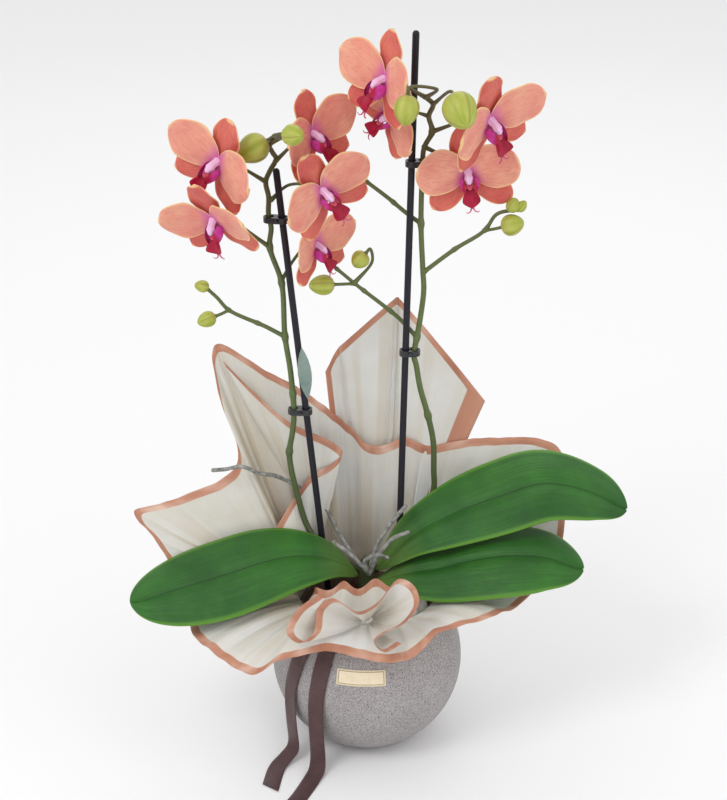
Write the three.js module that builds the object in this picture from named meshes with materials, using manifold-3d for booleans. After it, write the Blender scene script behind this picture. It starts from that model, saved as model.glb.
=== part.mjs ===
// A potted moth orchid: two flower spikes on stakes, three leaves, in a nursery pot that stands in a round
// stoneware pot, with wrapping film gathered round the neck and a ribbon tied round the film.
// Millimetres, +Z up, +X to the right, -Y to the front. The origin is the middle of the pot's flat foot.

import * as THREE from "three";
import { mergeVertices } from "three/addons/utils/BufferGeometryUtils.js";
import Module from "manifold-3d";

const wasm = await Module();
wasm.setup();

// ---- driving dimensions ----

const SEAT_GAP = 0.3; // between pieces that touch

const BELLY_RADIUS = 82.5; // outside of the ball-shaped pot
const POT_HEIGHT = 119.5;
const FOOT_RADIUS = 38.8;
const POT_WALL = 6;
const POT_FLOOR = 8;

const POT_PLAY = 1.4; // between the nursery pot and what it stands in
const NURSERY_ABOVE_RIM = 2.8; // how far the nursery pot's rim stands above the round pot's
const NURSERY_WALL = 1.6;
const DRAIN_HOLES = 6;
const DRAIN_RADIUS = 4;

const BARK_BELOW_RIM = 8; // the bark's top lies this far under the nursery pot's rim
const CROWN_RADIUS = 8;
const CROWN_TOP = 168;
const CROWN_DEPTH = 22; // how far the crown reaches into the bark

const STAKE_RADIUS = 2.8;
const STAKE_DEPTH = 50; // how far each stake is pushed into the bark
const SPIKE_RADIUS = 2.7;
const BRANCH_RADIUS = 1.8;
const PEDICEL_RADIUS = 1.3;
const STEM_NODE_RADIUS = 3.4; // the swollen rings on a spike
const CLIP_HEIGHT = 5;
const CLIP_WALL = 1.5;
const CLIP_PLAY = 0.9; // between a clip and the stems it holds

const FILM_THICKNESS = 0.8;
const FILM_PLAY = 1.3; // from the pot's mouth to the middle of the film
const FILM_FLARE = 1; // how much wider it is where the ribbon ties it than in the pot's mouth
const FILM_DEPTH = 20; // how far it reaches below the pot's rim
const PLEATS = 24;
const PLEAT_DEPTH = 2.2;

const RIBBON_WIDTH = 15;
const RIBBON_THICKNESS = 0.6;
const RIBBON_ABOVE_RIM = 2; // from the pot's rim to the ribbon's lower edge

const LABEL_WIDTH = 43;
const LABEL_HEIGHT = 14;
const LABEL_THICKNESS = 0.8;

const TAG_LENGTH = 48;
const TAG_WIDTH = 11;
const TAG_THICKNESS = 1;

const PETAL_THICKNESS = 1;
const PETAL_FOLD = 0.28; // how far the petals lean forward, as a slope
const SEPAL_FOLD = 0.05;
const CUP = 0.0022; // how fast a flower's rim comes forward, per mm of radius squared

// ---- what the sizes above settle ----

const BELLY_HEIGHT = Math.sqrt(BELLY_RADIUS ** 2 - FOOT_RADIUS ** 2);
const shellRadius = (ballRadius, height) => Math.sqrt(ballRadius ** 2 - (height - BELLY_HEIGHT) ** 2);
const MOUTH_RADIUS = shellRadius(BELLY_RADIUS - POT_WALL, POT_HEIGHT);
const FILM_MOUTH_RADIUS = MOUTH_RADIUS - FILM_PLAY;
const FILM_NECK_RADIUS = FILM_MOUTH_RADIUS + FILM_FLARE;
const NURSERY_TOP_RADIUS = FILM_MOUTH_RADIUS - POT_PLAY;
const NURSERY_BOTTOM_RADIUS = shellRadius(BELLY_RADIUS - POT_WALL, POT_FLOOR) - POT_PLAY;
const NURSERY_FOOT = POT_FLOOR + SEAT_GAP;
const NURSERY_TOP = POT_HEIGHT + NURSERY_ABOVE_RIM;
const BARK_TOP = NURSERY_TOP - BARK_BELOW_RIM;
const RIBBON_FOOT = POT_HEIGHT + RIBBON_ABOVE_RIM;
const RIBBON_TOP = RIBBON_FOOT + RIBBON_WIDTH;
const RIBBON_INNER = FILM_NECK_RADIUS + FILM_THICKNESS / 2 + PLEAT_DEPTH * 0.1 + SEAT_GAP;

// ---- helpers ----

const group = new THREE.Group();
const vec = (x, y, z) => new THREE.Vector3(x, y, z);
const degrees = THREE.MathUtils.degToRad;

function add(name, geometry, color, roughness = 0.6, metalness = 0) {
  const material = new THREE.MeshStandardMaterial({ color, roughness, metalness });
  const mesh = new THREE.Mesh(toGeometry(toSolid(geometry)), material);
  mesh.name = name;
  group.add(mesh);
  return mesh;
}

// A closed geometry as a solid whose faces point out.
function toSolid(geometry) {
  const bare = geometry.index ? geometry.toNonIndexed() : geometry.clone();
  bare.deleteAttribute("normal");
  bare.deleteAttribute("uv");
  const merged = mergeVertices(bare, 1e-3);
  const vertProperties = merged.attributes.position.array;
  const triVerts = new Uint32Array(merged.index.array);
  const solid = new wasm.Manifold(new wasm.Mesh({ numProp: 3, vertProperties, triVerts }));
  if (solid.volume() >= 0) return solid;
  for (let i = 0; i < triVerts.length; i += 3) {
    [triVerts[i + 1], triVerts[i + 2]] = [triVerts[i + 2], triVerts[i + 1]];
  }
  return new wasm.Manifold(new wasm.Mesh({ numProp: 3, vertProperties, triVerts }));
}

function toGeometry(solid) {
  const { vertProperties, triVerts } = solid.getMesh();
  const geometry = new THREE.BufferGeometry();
  geometry.setAttribute("position", new THREE.BufferAttribute(vertProperties, 3));
  geometry.setIndex(new THREE.BufferAttribute(triVerts, 1));
  return geometry;
}

// Several overlapping geometries as one closed body.
function join(geometries) {
  const solids = geometries.map(toSolid);
  return toGeometry(solids.reduce((whole, solid) => whole.add(solid)));
}

function cut(geometry, tools) {
  const solids = tools.map(toSolid);
  return toGeometry(solids.reduce((rest, tool) => rest.subtract(tool), toSolid(geometry)));
}

// Moves every vertex of a geometry to where place(vertex, u, v) says.
function reshape(geometry, place) {
  const position = geometry.attributes.position;
  const uv = geometry.attributes.uv;
  const point = vec(0, 0, 0);
  for (let i = 0; i < position.count; i++) {
    point.fromBufferAttribute(position, i);
    const moved = place(point, uv.getX(i), uv.getY(i));
    position.setXYZ(i, moved.x, moved.y, moved.z);
  }
  return geometry;
}

function tube(points, radius, sides = 6, steps = points.length * 3) {
  const path = new THREE.CatmullRomCurve3(points, false, "centripetal");
  const section = new THREE.Shape();
  section.absarc(0, 0, radius, 0, 2 * Math.PI);
  return new THREE.ExtrudeGeometry(section, { steps, curveSegments: sides / 2, extrudePath: path });
}

function ball(center, radii, around = 8, rows = 6) {
  const geometry = new THREE.SphereGeometry(1, around, rows);
  geometry.scale(radii.x, radii.y, radii.z);
  return geometry.translate(center.x, center.y, center.z);
}

// A straight round rod between two points, optionally longer at its lower end.
function rod(from, to, radius, sides = 10) {
  const length = from.distanceTo(to);
  const geometry = new THREE.CylinderGeometry(radius, radius, length, sides);
  const turn = new THREE.Quaternion().setFromUnitVectors(vec(0, 1, 0), to.clone().sub(from).normalize());
  geometry.applyQuaternion(turn);
  const middle = from.clone().add(to).multiplyScalar(0.5);
  return geometry.translate(middle.x, middle.y, middle.z);
}

// The half width of a leaf or petal at t from 0 at its base to 1 at its tip, as a share of the widest.
function outline(t, widest, fullness) {
  if (t < widest) return Math.sin((Math.PI / 2) * (t / widest)) ** fullness;
  return Math.sqrt(Math.max(0, 1 - ((t - widest) / (1 - widest)) ** 2));
}

// A flat blade: a ball pulled out along t and flattened. place(t, across, over) gives each vertex its
// position, with across from -1 to 1 between the edges and over from -1 to 1 through the thickness.
function blade(around, rows, place) {
  return reshape(new THREE.SphereGeometry(1, around, rows), (point) => {
    const t = (1 - point.y) / 2;
    const girth = Math.sqrt(Math.max(1e-12, 1 - point.y * point.y));
    const pole = girth < 1e-4;
    return place(t, pole ? 0 : point.x / girth, pole ? 0 : point.z / girth);
  });
}

// ---- pots ----

const POT_FACETS = 32; // round the pots and the bark alike, so that their walls stay parallel

function coverPot() {
  const inner = BELLY_RADIUS - POT_WALL;
  const profile = [new THREE.Vector2(0, 0)];
  const arcSteps = 7;
  for (let i = 0; i <= arcSteps; i++) {
    const height = (POT_HEIGHT * i) / arcSteps;
    profile.push(new THREE.Vector2(shellRadius(BELLY_RADIUS, height), height));
  }
  for (let i = arcSteps; i >= 0; i--) {
    const height = POT_FLOOR + ((POT_HEIGHT - POT_FLOOR) * i) / arcSteps;
    profile.push(new THREE.Vector2(shellRadius(inner, height), height));
  }
  profile.push(new THREE.Vector2(0, POT_FLOOR));
  return new THREE.LatheGeometry(profile, POT_FACETS).rotateX(Math.PI / 2);
}

const nurseryRadius = (height) => {
  const share = (height - NURSERY_FOOT) / (NURSERY_TOP - NURSERY_FOOT);
  return NURSERY_BOTTOM_RADIUS + (NURSERY_TOP_RADIUS - NURSERY_BOTTOM_RADIUS) * share;
};

function nurseryPot() {
  const floor = NURSERY_FOOT + NURSERY_WALL;
  const profile = [
    new THREE.Vector2(0, NURSERY_FOOT),
    new THREE.Vector2(NURSERY_BOTTOM_RADIUS, NURSERY_FOOT),
    new THREE.Vector2(NURSERY_TOP_RADIUS, NURSERY_TOP),
    new THREE.Vector2(NURSERY_TOP_RADIUS - NURSERY_WALL, NURSERY_TOP),
    new THREE.Vector2(nurseryRadius(floor) - NURSERY_WALL, floor),
    new THREE.Vector2(0, floor),
  ];
  const body = new THREE.LatheGeometry(profile, POT_FACETS).rotateX(Math.PI / 2);
  const drains = [];
  for (let i = 0; i < DRAIN_HOLES; i++) {
    const angle = (2 * Math.PI * i) / DRAIN_HOLES;
    const reach = NURSERY_BOTTOM_RADIUS * 0.6;
    const foot = vec(reach * Math.cos(angle), reach * Math.sin(angle), NURSERY_FOOT - 2);
    drains.push(rod(foot, foot.clone().setZ(floor + 2), DRAIN_RADIUS, 8));
  }
  return cut(body, drains);
}

// ---- stakes, spikes and what hangs on them ----

// Each stake is named by its top and by where it meets the bark.
const STAKES = {
  left: { foot: vec(-33, 24, BARK_TOP), top: vec(-72.5, 24, 508) },
  right: { foot: vec(27, 28, BARK_TOP), top: vec(37.6, 28, 618) },
};

const stakeEnd = ({ foot, top }) => {
  const along = top.clone().sub(foot).normalize();
  return foot.clone().addScaledVector(along, -STAKE_DEPTH);
};

// The point of a stake at a given height, and the way it leans.
const onStake = ({ foot, top }, height) => foot.clone().lerp(top, (height - foot.z) / (top.z - foot.z));

function barkMedium() {
  const foot = NURSERY_FOOT + NURSERY_WALL + SEAT_GAP;
  const lining = NURSERY_WALL + SEAT_GAP;
  const shoulder = BARK_TOP - 4;
  const profile = [
    new THREE.Vector2(0, foot),
    new THREE.Vector2(nurseryRadius(foot) - lining, foot),
    new THREE.Vector2(nurseryRadius(shoulder) - lining, shoulder),
    new THREE.Vector2(nurseryRadius(shoulder) * 0.6, BARK_TOP),
    new THREE.Vector2(0, BARK_TOP),
  ];
  const body = new THREE.LatheGeometry(profile, POT_FACETS).rotateX(Math.PI / 2);
  const holes = Object.values(STAKES).map((stake) => {
    const along = stake.top.clone().sub(stake.foot).normalize();
    const bottom = stakeEnd(stake).addScaledVector(along, -SEAT_GAP);
    return rod(bottom, onStake(stake, BARK_TOP + 20), STAKE_RADIUS + SEAT_GAP);
  });
  const socket = rod(
    vec(0, 0, BARK_TOP - CROWN_DEPTH - SEAT_GAP),
    vec(0, 0, BARK_TOP + 5),
    CROWN_RADIUS + SEAT_GAP,
    12,
  );
  return cut(body, [...holes, socket]);
}

// A point beside the crown, clear of it by half the thickness of what sits there.
function besideCrown(bearing, height, halfThickness) {
  const reach = CROWN_RADIUS + SEAT_GAP + halfThickness;
  return vec(reach * Math.cos(degrees(bearing)), reach * Math.sin(degrees(bearing)), height);
}

const crown = () => {
  const foot = BARK_TOP - CROWN_DEPTH;
  const profile = [
    new THREE.Vector2(0, foot),
    new THREE.Vector2(CROWN_RADIUS * 0.7, foot),
    new THREE.Vector2(CROWN_RADIUS, foot + 4),
    new THREE.Vector2(CROWN_RADIUS, CROWN_TOP - 12),
    new THREE.Vector2(CROWN_RADIUS * 0.7, CROWN_TOP - 4),
    new THREE.Vector2(0, CROWN_TOP),
  ];
  return new THREE.LatheGeometry(profile, 12).rotateX(Math.PI / 2);
};

// ---- leaves ----

// line is the midrib from the crown to the tip, roll turns the blade about it towards the front,
// arch is how far the edges fall below the midrib as a share of the half width.
const LEAVES = {
  leaf_left: {
    line: [
      besideCrown(188, 152, 0),
      vec(-28, -7, 171),
      vec(-56, -14, 179),
      vec(-84, -21, 178),
      vec(-122, -30, 169),
      vec(-158, -38, 161),
      vec(-198, -47, 151),
    ],
    halfWidth: 39,
    roll: 28,
    arch: 0.22,
    widest: 0.62,
  },
  leaf_upper_right: {
    line: [
      besideCrown(15, 155, 0),
      vec(37, 5, 187),
      vec(67, 7, 205),
      vec(110, 11, 222),
      vec(152, 15, 233),
      vec(196, 17, 222),
      vec(222, 16, 206),
    ],
    halfWidth: 37,
    roll: 30,
    arch: 0.12,
    widest: 0.6,
  },
  leaf_lower_right: {
    line: [
      besideCrown(-32, 147, 0),
      vec(34, -12, 161),
      vec(60, -18, 169),
      vec(90, -23, 180),
      vec(122, -28, 187),
      vec(152, -32, 187),
      vec(181, -36, 177),
    ],
    halfWidth: 38,
    roll: 24,
    arch: 0.25,
    widest: 0.6,
  },
};
const LEAF_THICKNESS = 2.4;
const MIDRIB_DEPTH = 2.2;

function leaf({ line, halfWidth, roll, arch, widest }) {
  const midrib = new THREE.CatmullRomCurve3(line, false, "centripetal");
  const tilt = degrees(roll);
  return blade(12, 12, (t, across, over) => {
    const along = midrib.getTangentAt(t);
    const flat = vec(0, 0, 1).cross(along).normalize();
    const toFront = flat.y > 0 ? flat.negate() : flat;
    const up = vec(0, 0, 1).addScaledVector(along, -along.z).normalize();
    const side = toFront.clone().multiplyScalar(Math.cos(tilt)).addScaledVector(up, -Math.sin(tilt));
    const normal = up.clone().multiplyScalar(Math.cos(tilt)).addScaledVector(toFront, Math.sin(tilt));
    const half = halfWidth * outline(t, widest, 0.7);
    const groove = MIDRIB_DEPTH * Math.max(0, 1 - Math.abs(across) * 2) * Math.min(1, (half * 2) / halfWidth);
    const thick = LEAF_THICKNESS * Math.min(1, half / 6);
    const lift = -arch * half * across * across - groove + (over * thick) / 2;
    return midrib.getPointAt(t).addScaledVector(side, half * across).addScaledVector(normal, lift);
  });
}

// ---- flowers ----

// yaw turns a flower's face from the front towards +X, pitch lifts it, roll turns it clockwise as seen from
// its front, size scales it, and root is the point of the spike that its pedicel grows from.
const FLOWERS = {
  flower_left_1: {
    at: vec(-117, 3, 521), yaw: -36, pitch: -4, roll: 27, size: 1.05,
    root: vec(-81, 27, 497),
  },
  flower_left_2: {
    at: vec(-121, 0, 474), yaw: -26, pitch: -28, roll: -8, size: 1,
    root: vec(-79, 28, 441),
  },
  flower_left_3: {
    at: vec(-43, 20, 538), yaw: 46, pitch: 4, roll: -16, size: 0.96,
    root: vec(-73, 27, 514),
  },
  flower_left_4: {
    at: vec(-35, -2, 499), yaw: 34, pitch: -8, roll: -32, size: 1,
    root: vec(-77, 26, 482), via: vec(-64, 32, 492),
  },
  flower_left_5: {
    at: vec(-41, 18, 446), yaw: 50, pitch: 0, roll: -10, size: 0.86,
    root: vec(-71, 28, 410), via: vec(-60, 33, 428),
  },
  flower_right_1: {
    at: vec(13, -3, 588), yaw: -50, pitch: 8, roll: 9, size: 1,
    root: vec(45.5, 10, 571),
  },
  flower_right_2: {
    at: vec(19, 20, 555), yaw: -48, pitch: -10, roll: 46, size: 0.9,
    root: vec(48, 17, 554), via: vec(37, 18, 557),
  },
  flower_right_3: {
    at: vec(94, -6, 557), yaw: 42, pitch: -16, roll: -18, size: 1.08,
    root: vec(51, 22, 540),
  },
  flower_right_4: {
    at: vec(80, 20, 507), yaw: 0, pitch: -6, roll: -8, size: 1,
    root: vec(45, 27, 526),
  },
};
const SEPAL_LENGTH = 41;
const SEPAL_HALF_WIDTH = 12.5;
const SEPAL_ANGLES = [0, 130, -130];
const PETAL_LENGTH = 42;
const PETAL_HALF_WIDTH = 20;
const PETAL_ANGLE = 74;
const SEPAL_LEVEL = -1.6; // behind the flower's middle
const PETAL_LEVEL = 0.4;
const LIP_LEVEL = 1.7;
const HUB_RADIUS = 4; // where the florets of one ring meet
const HUB_HALF_THICKNESS = 1;

function flowerMatrix({ at, yaw, pitch, roll }) {
  const turn = new THREE.Matrix4().makeRotationZ(degrees(yaw));
  turn.multiply(new THREE.Matrix4().makeRotationX(Math.PI / 2 - degrees(pitch)));
  turn.multiply(new THREE.Matrix4().makeRotationZ(-degrees(roll)));
  return turn.setPosition(at);
}

// A sepal or petal in the flower's own frame: x across, y up, z to the front.
function floret(angle, length, halfWidth, level, fold, widest, fullness) {
  const turn = degrees(angle);
  return blade(6, 5, (t, across, over) => {
    const half = halfWidth * outline(t, widest, fullness);
    const x = half * across;
    const y = length * t;
    const lift = level + fold * y + CUP * (x * x + y * y) + (over * PETAL_THICKNESS) / 2;
    return vec(x * Math.cos(turn) + y * Math.sin(turn), y * Math.cos(turn) - x * Math.sin(turn), lift);
  });
}

function sepals(size) {
  const hub = ball(vec(0, 0, SEPAL_LEVEL), vec(HUB_RADIUS, HUB_RADIUS, HUB_HALF_THICKNESS), 6, 3);
  const parts = SEPAL_ANGLES.map((angle) =>
    floret(angle, SEPAL_LENGTH, SEPAL_HALF_WIDTH, SEPAL_LEVEL, SEPAL_FOLD, 0.55, 0.5),
  );
  return join([hub, ...parts]).scale(size, size, size);
}

function petals(size) {
  const hub = ball(vec(0, 0, PETAL_LEVEL), vec(HUB_RADIUS, HUB_RADIUS, HUB_HALF_THICKNESS), 6, 3);
  const parts = [PETAL_ANGLE, -PETAL_ANGLE].map((angle) =>
    floret(angle, PETAL_LENGTH, PETAL_HALF_WIDTH, PETAL_LEVEL, PETAL_FOLD, 0.55, 0.6),
  );
  return join([hub, ...parts]).scale(size, size, size);
}

// The lip: a column above, two upright side lobes, a callus and a pointed middle lobe that reaches forward.
function lip(size) {
  const level = LIP_LEVEL;
  const column = tube([vec(0, 0.5, level + 0.2), vec(0, -0.5, level + 5), vec(0, -4, level + 9)], 2.6, 6, 2);
  const claw = tube([vec(0, -1, level + 3), vec(0, -8, level + 6), vec(0, -15, level + 11)], 2, 6, 2);
  const middle = ball(vec(0, -18, level + 13), vec(6.5, 9, 1.8), 6, 5);
  const sides = [-1, 1].map((side) => ball(vec(side * 3.8, -8, level + 8), vec(2.4, 5, 5), 6, 4));
  return join([column, claw, middle, ...sides]).scale(size, size, size);
}

// ---- buds ----

// tip is the way a bud points, root the point of the stem that it grows from.
const BUDS = {
  bud_left_top: {
    at: vec(-90, 8, 530), radius: 11.5, length: 27,
    tip: vec(-0.8, -0.3, -0.4),
    root: vec(-77, 18, 530),
  },
  bud_left_front: {
    at: vec(-56, -33, 554), radius: 8.3, length: 19,
    tip: vec(0.6, -0.75, 0.15),
    root: vec(-68, 12, 538), via: vec(-72, -14, 548),
  },
  bud_left_branch: {
    at: vec(-131, 12, 384), radius: 6.5, length: 16,
    tip: vec(-0.9, -0.2, -0.3),
    root: vec(-113, 18, 390),
  },
  bud_right_top: {
    at: vec(69.5, -48, 577), radius: 13, length: 31,
    tip: vec(0.3, -0.8, -0.5),
    root: vec(51, 12, 565),
  },
  bud_right_top_small: {
    at: vec(29, -52, 579), radius: 9.5, length: 23,
    tip: vec(-0.1, -0.2, -1),
    root: vec(45.4, 10, 571), via: vec(52, -26, 588),
  },
  bud_lower_branch: {
    at: vec(-37, 18, 412), radius: 8.3, length: 21,
    tip: vec(-0.95, -0.1, 0),
    root: vec(-10, 26, 410),
  },
  bud_lower_curl: {
    at: vec(-6, 20, 433), radius: 7.4, length: 15,
    tip: vec(-0.6, 0, -0.7),
    root: vec(-10, 26, 411), via: vec(4, 24, 430),
  },
  bud_right_branch: {
    at: vec(116, 12, 466), radius: 8.6, length: 19,
    tip: vec(0.9, -0.2, 0.3),
    root: vec(94, 20, 458),
  },
};

const budBase = ({ at, length, tip }) => at.clone().addScaledVector(tip.clone().normalize(), -length / 2);

// An egg, blunt at its base and a little pointed at its tip.
function bud({ at, radius, length, tip }) {
  const turn = new THREE.Quaternion().setFromUnitVectors(vec(0, -1, 0), tip.clone().normalize());
  return reshape(new THREE.SphereGeometry(1, 8, 6), (point) => {
    const belly = 1 + 0.18 * point.y;
    const egg = vec(point.x * radius * belly, (point.y * length) / 2, point.z * radius * belly);
    return egg.applyQuaternion(turn).add(at);
  });
}

// ---- spikes ----

const LEFT_SPIKE = [
  besideCrown(128, 150, SPIKE_RADIUS),
  vec(-22, 12, 160),
  vec(-40, 16, 171),
  vec(-52, 22, 188),
  vec(-60, 25, 217),
  vec(-65, 26, 242),
  vec(-66, 26, 257),
  vec(-63, 25, 276),
  vec(-61.5, 24.5, 294),
  vec(-64, 27, 332),
  vec(-68, 28, 362),
  vec(-70, 28, 410),
  vec(-79, 28, 441),
  vec(-77.5, 27, 458),
  vec(-79.3, 25, 471),
  vec(-79, 27, 484),
  vec(-81, 27, 497),
  vec(-77.5, 31.5, 505),
  vec(-72.5, 29, 515),
  vec(-75, 22, 523),
  vec(-77, 18, 530),
  vec(-68.5, 12, 538),
];
const LEFT_BRANCH = [
  vec(-68, 28, 362),
  vec(-84, 24, 373),
  vec(-113, 18, 390),
  vec(-122, 15, 402),
  vec(-130, 13, 411),
];
const LEFT_TIP_BUDS = [{ at: vec(-134, 13, 413), radius: 5, length: 12, tip: vec(-0.9, -0.1, 0.2) }];
const LEFT_NODES = [
  vec(-66, 26, 257),
  vec(-63, 26, 311),
  vec(-68, 28, 362),
  vec(-70.5, 28, 410),
  vec(-79, 28, 441),
];

const RIGHT_SPIKE = [
  besideCrown(52, 150, SPIKE_RADIUS),
  vec(22, 14, 165),
  vec(40, 24, 182),
  vec(54, 36, 202),
  vec(58, 40, 216),
  vec(57.5, 38, 232),
  vec(56.5, 35, 262),
  vec(51.5, 32, 288),
  vec(44.5, 30, 315),
  vec(41, 28.5, 336),
  vec(39, 28.2, 345),
  vec(41.5, 30, 362),
  vec(44, 31, 378),
  vec(46.5, 32, 402),
  vec(45.5, 32, 420),
  vec(43.5, 31, 460),
  vec(44, 29, 506),
  vec(45, 27, 525),
  vec(51, 22, 540),
  vec(48, 17, 554),
  vec(51, 12, 565),
  vec(45.4, 10, 571),
];
const BEHIND_STAKE = STAKES.right.foot.y + STAKE_RADIUS + BRANCH_RADIUS + 2.6;
const RIGHT_BRANCHES = [
  [vec(41, 30, 361), vec(27, BEHIND_STAKE, 375), vec(-10, 26, 410), vec(-25, 24, 424)],
  [vec(43.5, 31, 460), vec(30.5, 37, 468), vec(17.5, 38, 479), vec(-7, 36, 499), vec(-22, 32, 512)],
  [vec(46.5, 32, 418), vec(71, 26, 440), vec(94, 20, 458), vec(104, 18, 473), vec(121, 15.5, 477.5)],
];
const RIGHT_NODES = [vec(51.5, 32, 288), vec(41.3, 30, 361), vec(43.5, 31, 460), vec(51, 22, 540)];
// Young buds that are still one with the branch's end.
const RIGHT_TIP_BUDS = [
  { at: vec(116, 14, 482), radius: 5.5, length: 13, tip: vec(0.3, -0.3, 0.9) },
  { at: vec(123, 14, 481), radius: 4, length: 11, tip: vec(0.5, -0.2, 0.8) },
];

// A thin stalk from its root on a stem, past an optional point on its way, to just short of what it carries.
function stalk({ root, via }, end, way, reach) {
  const before = end.clone().addScaledVector(way, -reach);
  return tube(via ? [root, via, before, end] : [root, before, end], PEDICEL_RADIUS, 6, via ? 8 : 5);
}

function flowerStalk(flower) {
  const frame = flowerMatrix(flower);
  const behind = (SEPAL_LEVEL - HUB_HALF_THICKNESS * 0.8) * flower.size - SEAT_GAP;
  const back = vec(0, 0, behind).applyMatrix4(frame);
  const way = vec(0, 0, 1).transformDirection(frame);
  return stalk(flower, back, way, 6);
}

function budStalk(one) {
  const way = one.tip.clone().normalize();
  return stalk(one, budBase(one).addScaledVector(way, -SEAT_GAP), way, 5);
}

function spike(main, branches, nodes, flowers, buds, tipBuds) {
  const stems = [tube(main, SPIKE_RADIUS, 6, Math.round(main.length * 1.5))];
  for (const branch of branches) stems.push(tube(branch, BRANCH_RADIUS, 6, branch.length * 2));
  for (const node of nodes) {
    stems.push(ball(node, vec(STEM_NODE_RADIUS, STEM_NODE_RADIUS, STEM_NODE_RADIUS * 0.8), 6, 4));
  }
  for (const flower of flowers) stems.push(flowerStalk(flower));
  for (const one of buds) stems.push(budStalk(one));
  for (const one of tipBuds) stems.push(bud(one));
  return join(stems);
}

// ---- clips and tag ----

const CLIPS = {
  clip_left_lower: { stake: STAKES.left, spike: LEFT_SPIKE, height: 296 },
  clip_left_upper: { stake: STAKES.left, spike: LEFT_SPIKE, height: 466 },
  clip_right_lower: { stake: STAKES.right, spike: RIGHT_SPIKE, height: 348 },
  clip_right_upper: { stake: STAKES.right, spike: RIGHT_SPIKE, height: 512 },
};

// A small two-ring clip that holds a spike to its stake.
function clip({ stake, spike: stem, height }) {
  const post = onStake(stake, height);
  const path = new THREE.CatmullRomCurve3(stem, false, "centripetal");
  const miss = (point) => Math.abs(point.z - height);
  const held = path.getSpacedPoints(400).reduce((best, one) => (miss(one) < miss(best) ? one : best));
  const between = vec(held.x - post.x, held.y - post.y, 0);
  const reach = between.length();
  const postHole = STAKE_RADIUS + CLIP_PLAY;
  const stemHole = SPIKE_RADIUS + CLIP_PLAY;
  const body = new THREE.Shape();
  body.absarc(0, 0, postHole + CLIP_WALL, Math.PI / 2, (3 * Math.PI) / 2);
  body.absarc(reach, 0, stemHole + CLIP_WALL, -Math.PI / 2, Math.PI / 2);
  const postRing = new THREE.Path().absarc(0, 0, postHole, 0, 2 * Math.PI);
  const stemRing = new THREE.Path().absarc(reach, 0, stemHole, 0, 2 * Math.PI);
  const ringsMeet = reach < postHole + stemHole + CLIP_WALL * 0.4;
  body.holes.push(postRing);
  if (!ringsMeet) body.holes.push(stemRing);
  const settings = { depth: CLIP_HEIGHT, bevelEnabled: false, curveSegments: 8 };
  const plate = new THREE.ExtrudeGeometry(body, settings);
  plate.translate(0, 0, -CLIP_HEIGHT / 2);
  const solids = ringsMeet
    ? cut(plate, [rod(vec(reach, 0, -CLIP_HEIGHT), vec(reach, 0, CLIP_HEIGHT), stemHole)])
    : plate;
  return solids.rotateZ(Math.atan2(between.y, between.x)).translate(post.x, post.y, height);
}

// The tag is a pointed oval that hangs beside the left stake, just clear of it.
function tag() {
  const shape = new THREE.Shape();
  const half = TAG_LENGTH / 2;
  shape.moveTo(0, -half);
  shape.quadraticCurveTo(TAG_WIDTH * 1.05, 0, 0, half);
  shape.quadraticCurveTo(-TAG_WIDTH * 1.05, 0, 0, -half);
  const settings = { depth: TAG_THICKNESS, bevelEnabled: false, curveSegments: 8 };
  const geometry = new THREE.ExtrudeGeometry(shape, settings);
  const post = onStake(STAKES.left, 332);
  const lean = Math.atan2(STAKES.left.top.x - STAKES.left.foot.x, STAKES.left.top.z - STAKES.left.foot.z);
  geometry.rotateX(Math.PI / 2).rotateY(lean);
  return geometry.translate(post.x + 3, post.y - STAKE_RADIUS - SEAT_GAP, post.z);
}

// ---- aerial roots ----

const ROOT_RADIUS = 2;
const LONG_ROOT = [
  besideCrown(92, 142, ROOT_RADIUS),
  vec(-14, 19, 163),
  vec(-25, 31, 176),
  vec(-33, 34, 192),
  vec(-52, 35, 213),
  vec(-66, 36, 222),
  vec(-80, 30, 232),
  vec(-92, 22, 238),
  vec(-106, 17, 247),
  vec(-120, 18, 244),
  vec(-131, 20, 242),
];
const CROWN_ROOTS = [
  [besideCrown(-80, 158, ROOT_RADIUS * 0.85), vec(-4, -14, 168), vec(-14, -10, 177), vec(-28, -5, 186)],
  [besideCrown(-80, 158, ROOT_RADIUS * 0.85), vec(10, -9, 176), vec(22, -6, 190), vec(35, -2, 194)],
  [besideCrown(-80, 158, ROOT_RADIUS * 0.85), vec(8, -2, 180), vec(20, 6, 198), vec(33, 10, 213)],
  [besideCrown(-80, 158, ROOT_RADIUS * 0.85), vec(-2, -14, 172), vec(8, -20, 182), vec(17, -14, 176)],
];

// ---- film ----

// The film's edges follow the neck that they grow from: the points below belong to a neck of this size.
const EDGE_NECK_RADIUS = 60.3;
const EDGE_NECK_TOP = 136.5;

const followNeck = (points) => {
  const spread = FILM_NECK_RADIUS / EDGE_NECK_RADIUS;
  const lift = RIBBON_TOP - EDGE_NECK_TOP;
  return points.map((point) => vec(point.x * spread, point.y * spread, point.z + lift));
};

// The film's edge, once round from the right end: a tall flap behind, a cone flap to the left,
// a pointed flap low on the left, and flaps that fall over the pot in front.
const FILM_EDGE = [
  vec(126, -42, 146),
  vec(156, 0, 150),
  vec(174, 50, 172),
  vec(166, 70, 240),
  vec(104, 72, 247),
  vec(52, 68, 242),
  vec(33, 67, 250),
  vec(6, 64, 243),
  vec(-18, 66, 264),
  vec(-47, 70, 288),
  vec(-86, 66, 314),
  vec(-128, 58, 342),
  vec(-128, 44, 312),
  vec(-112, 34, 240),
  vec(-166, 24, 212),
  vec(-199, 12, 206),
  vec(-182, 6, 184),
  vec(-162, -8, 150),
  vec(-152, -32, 132),
  vec(-146, -55, 124),
  vec(-123, -75, 116),
  vec(-97, -86, 106),
  vec(-66, -88, 122),
  vec(-30, -88, 130),
  vec(10, -96, 124),
  vec(40, -95, 128),
  vec(58, -86, 146),
  vec(99, -68, 148),
];

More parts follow.
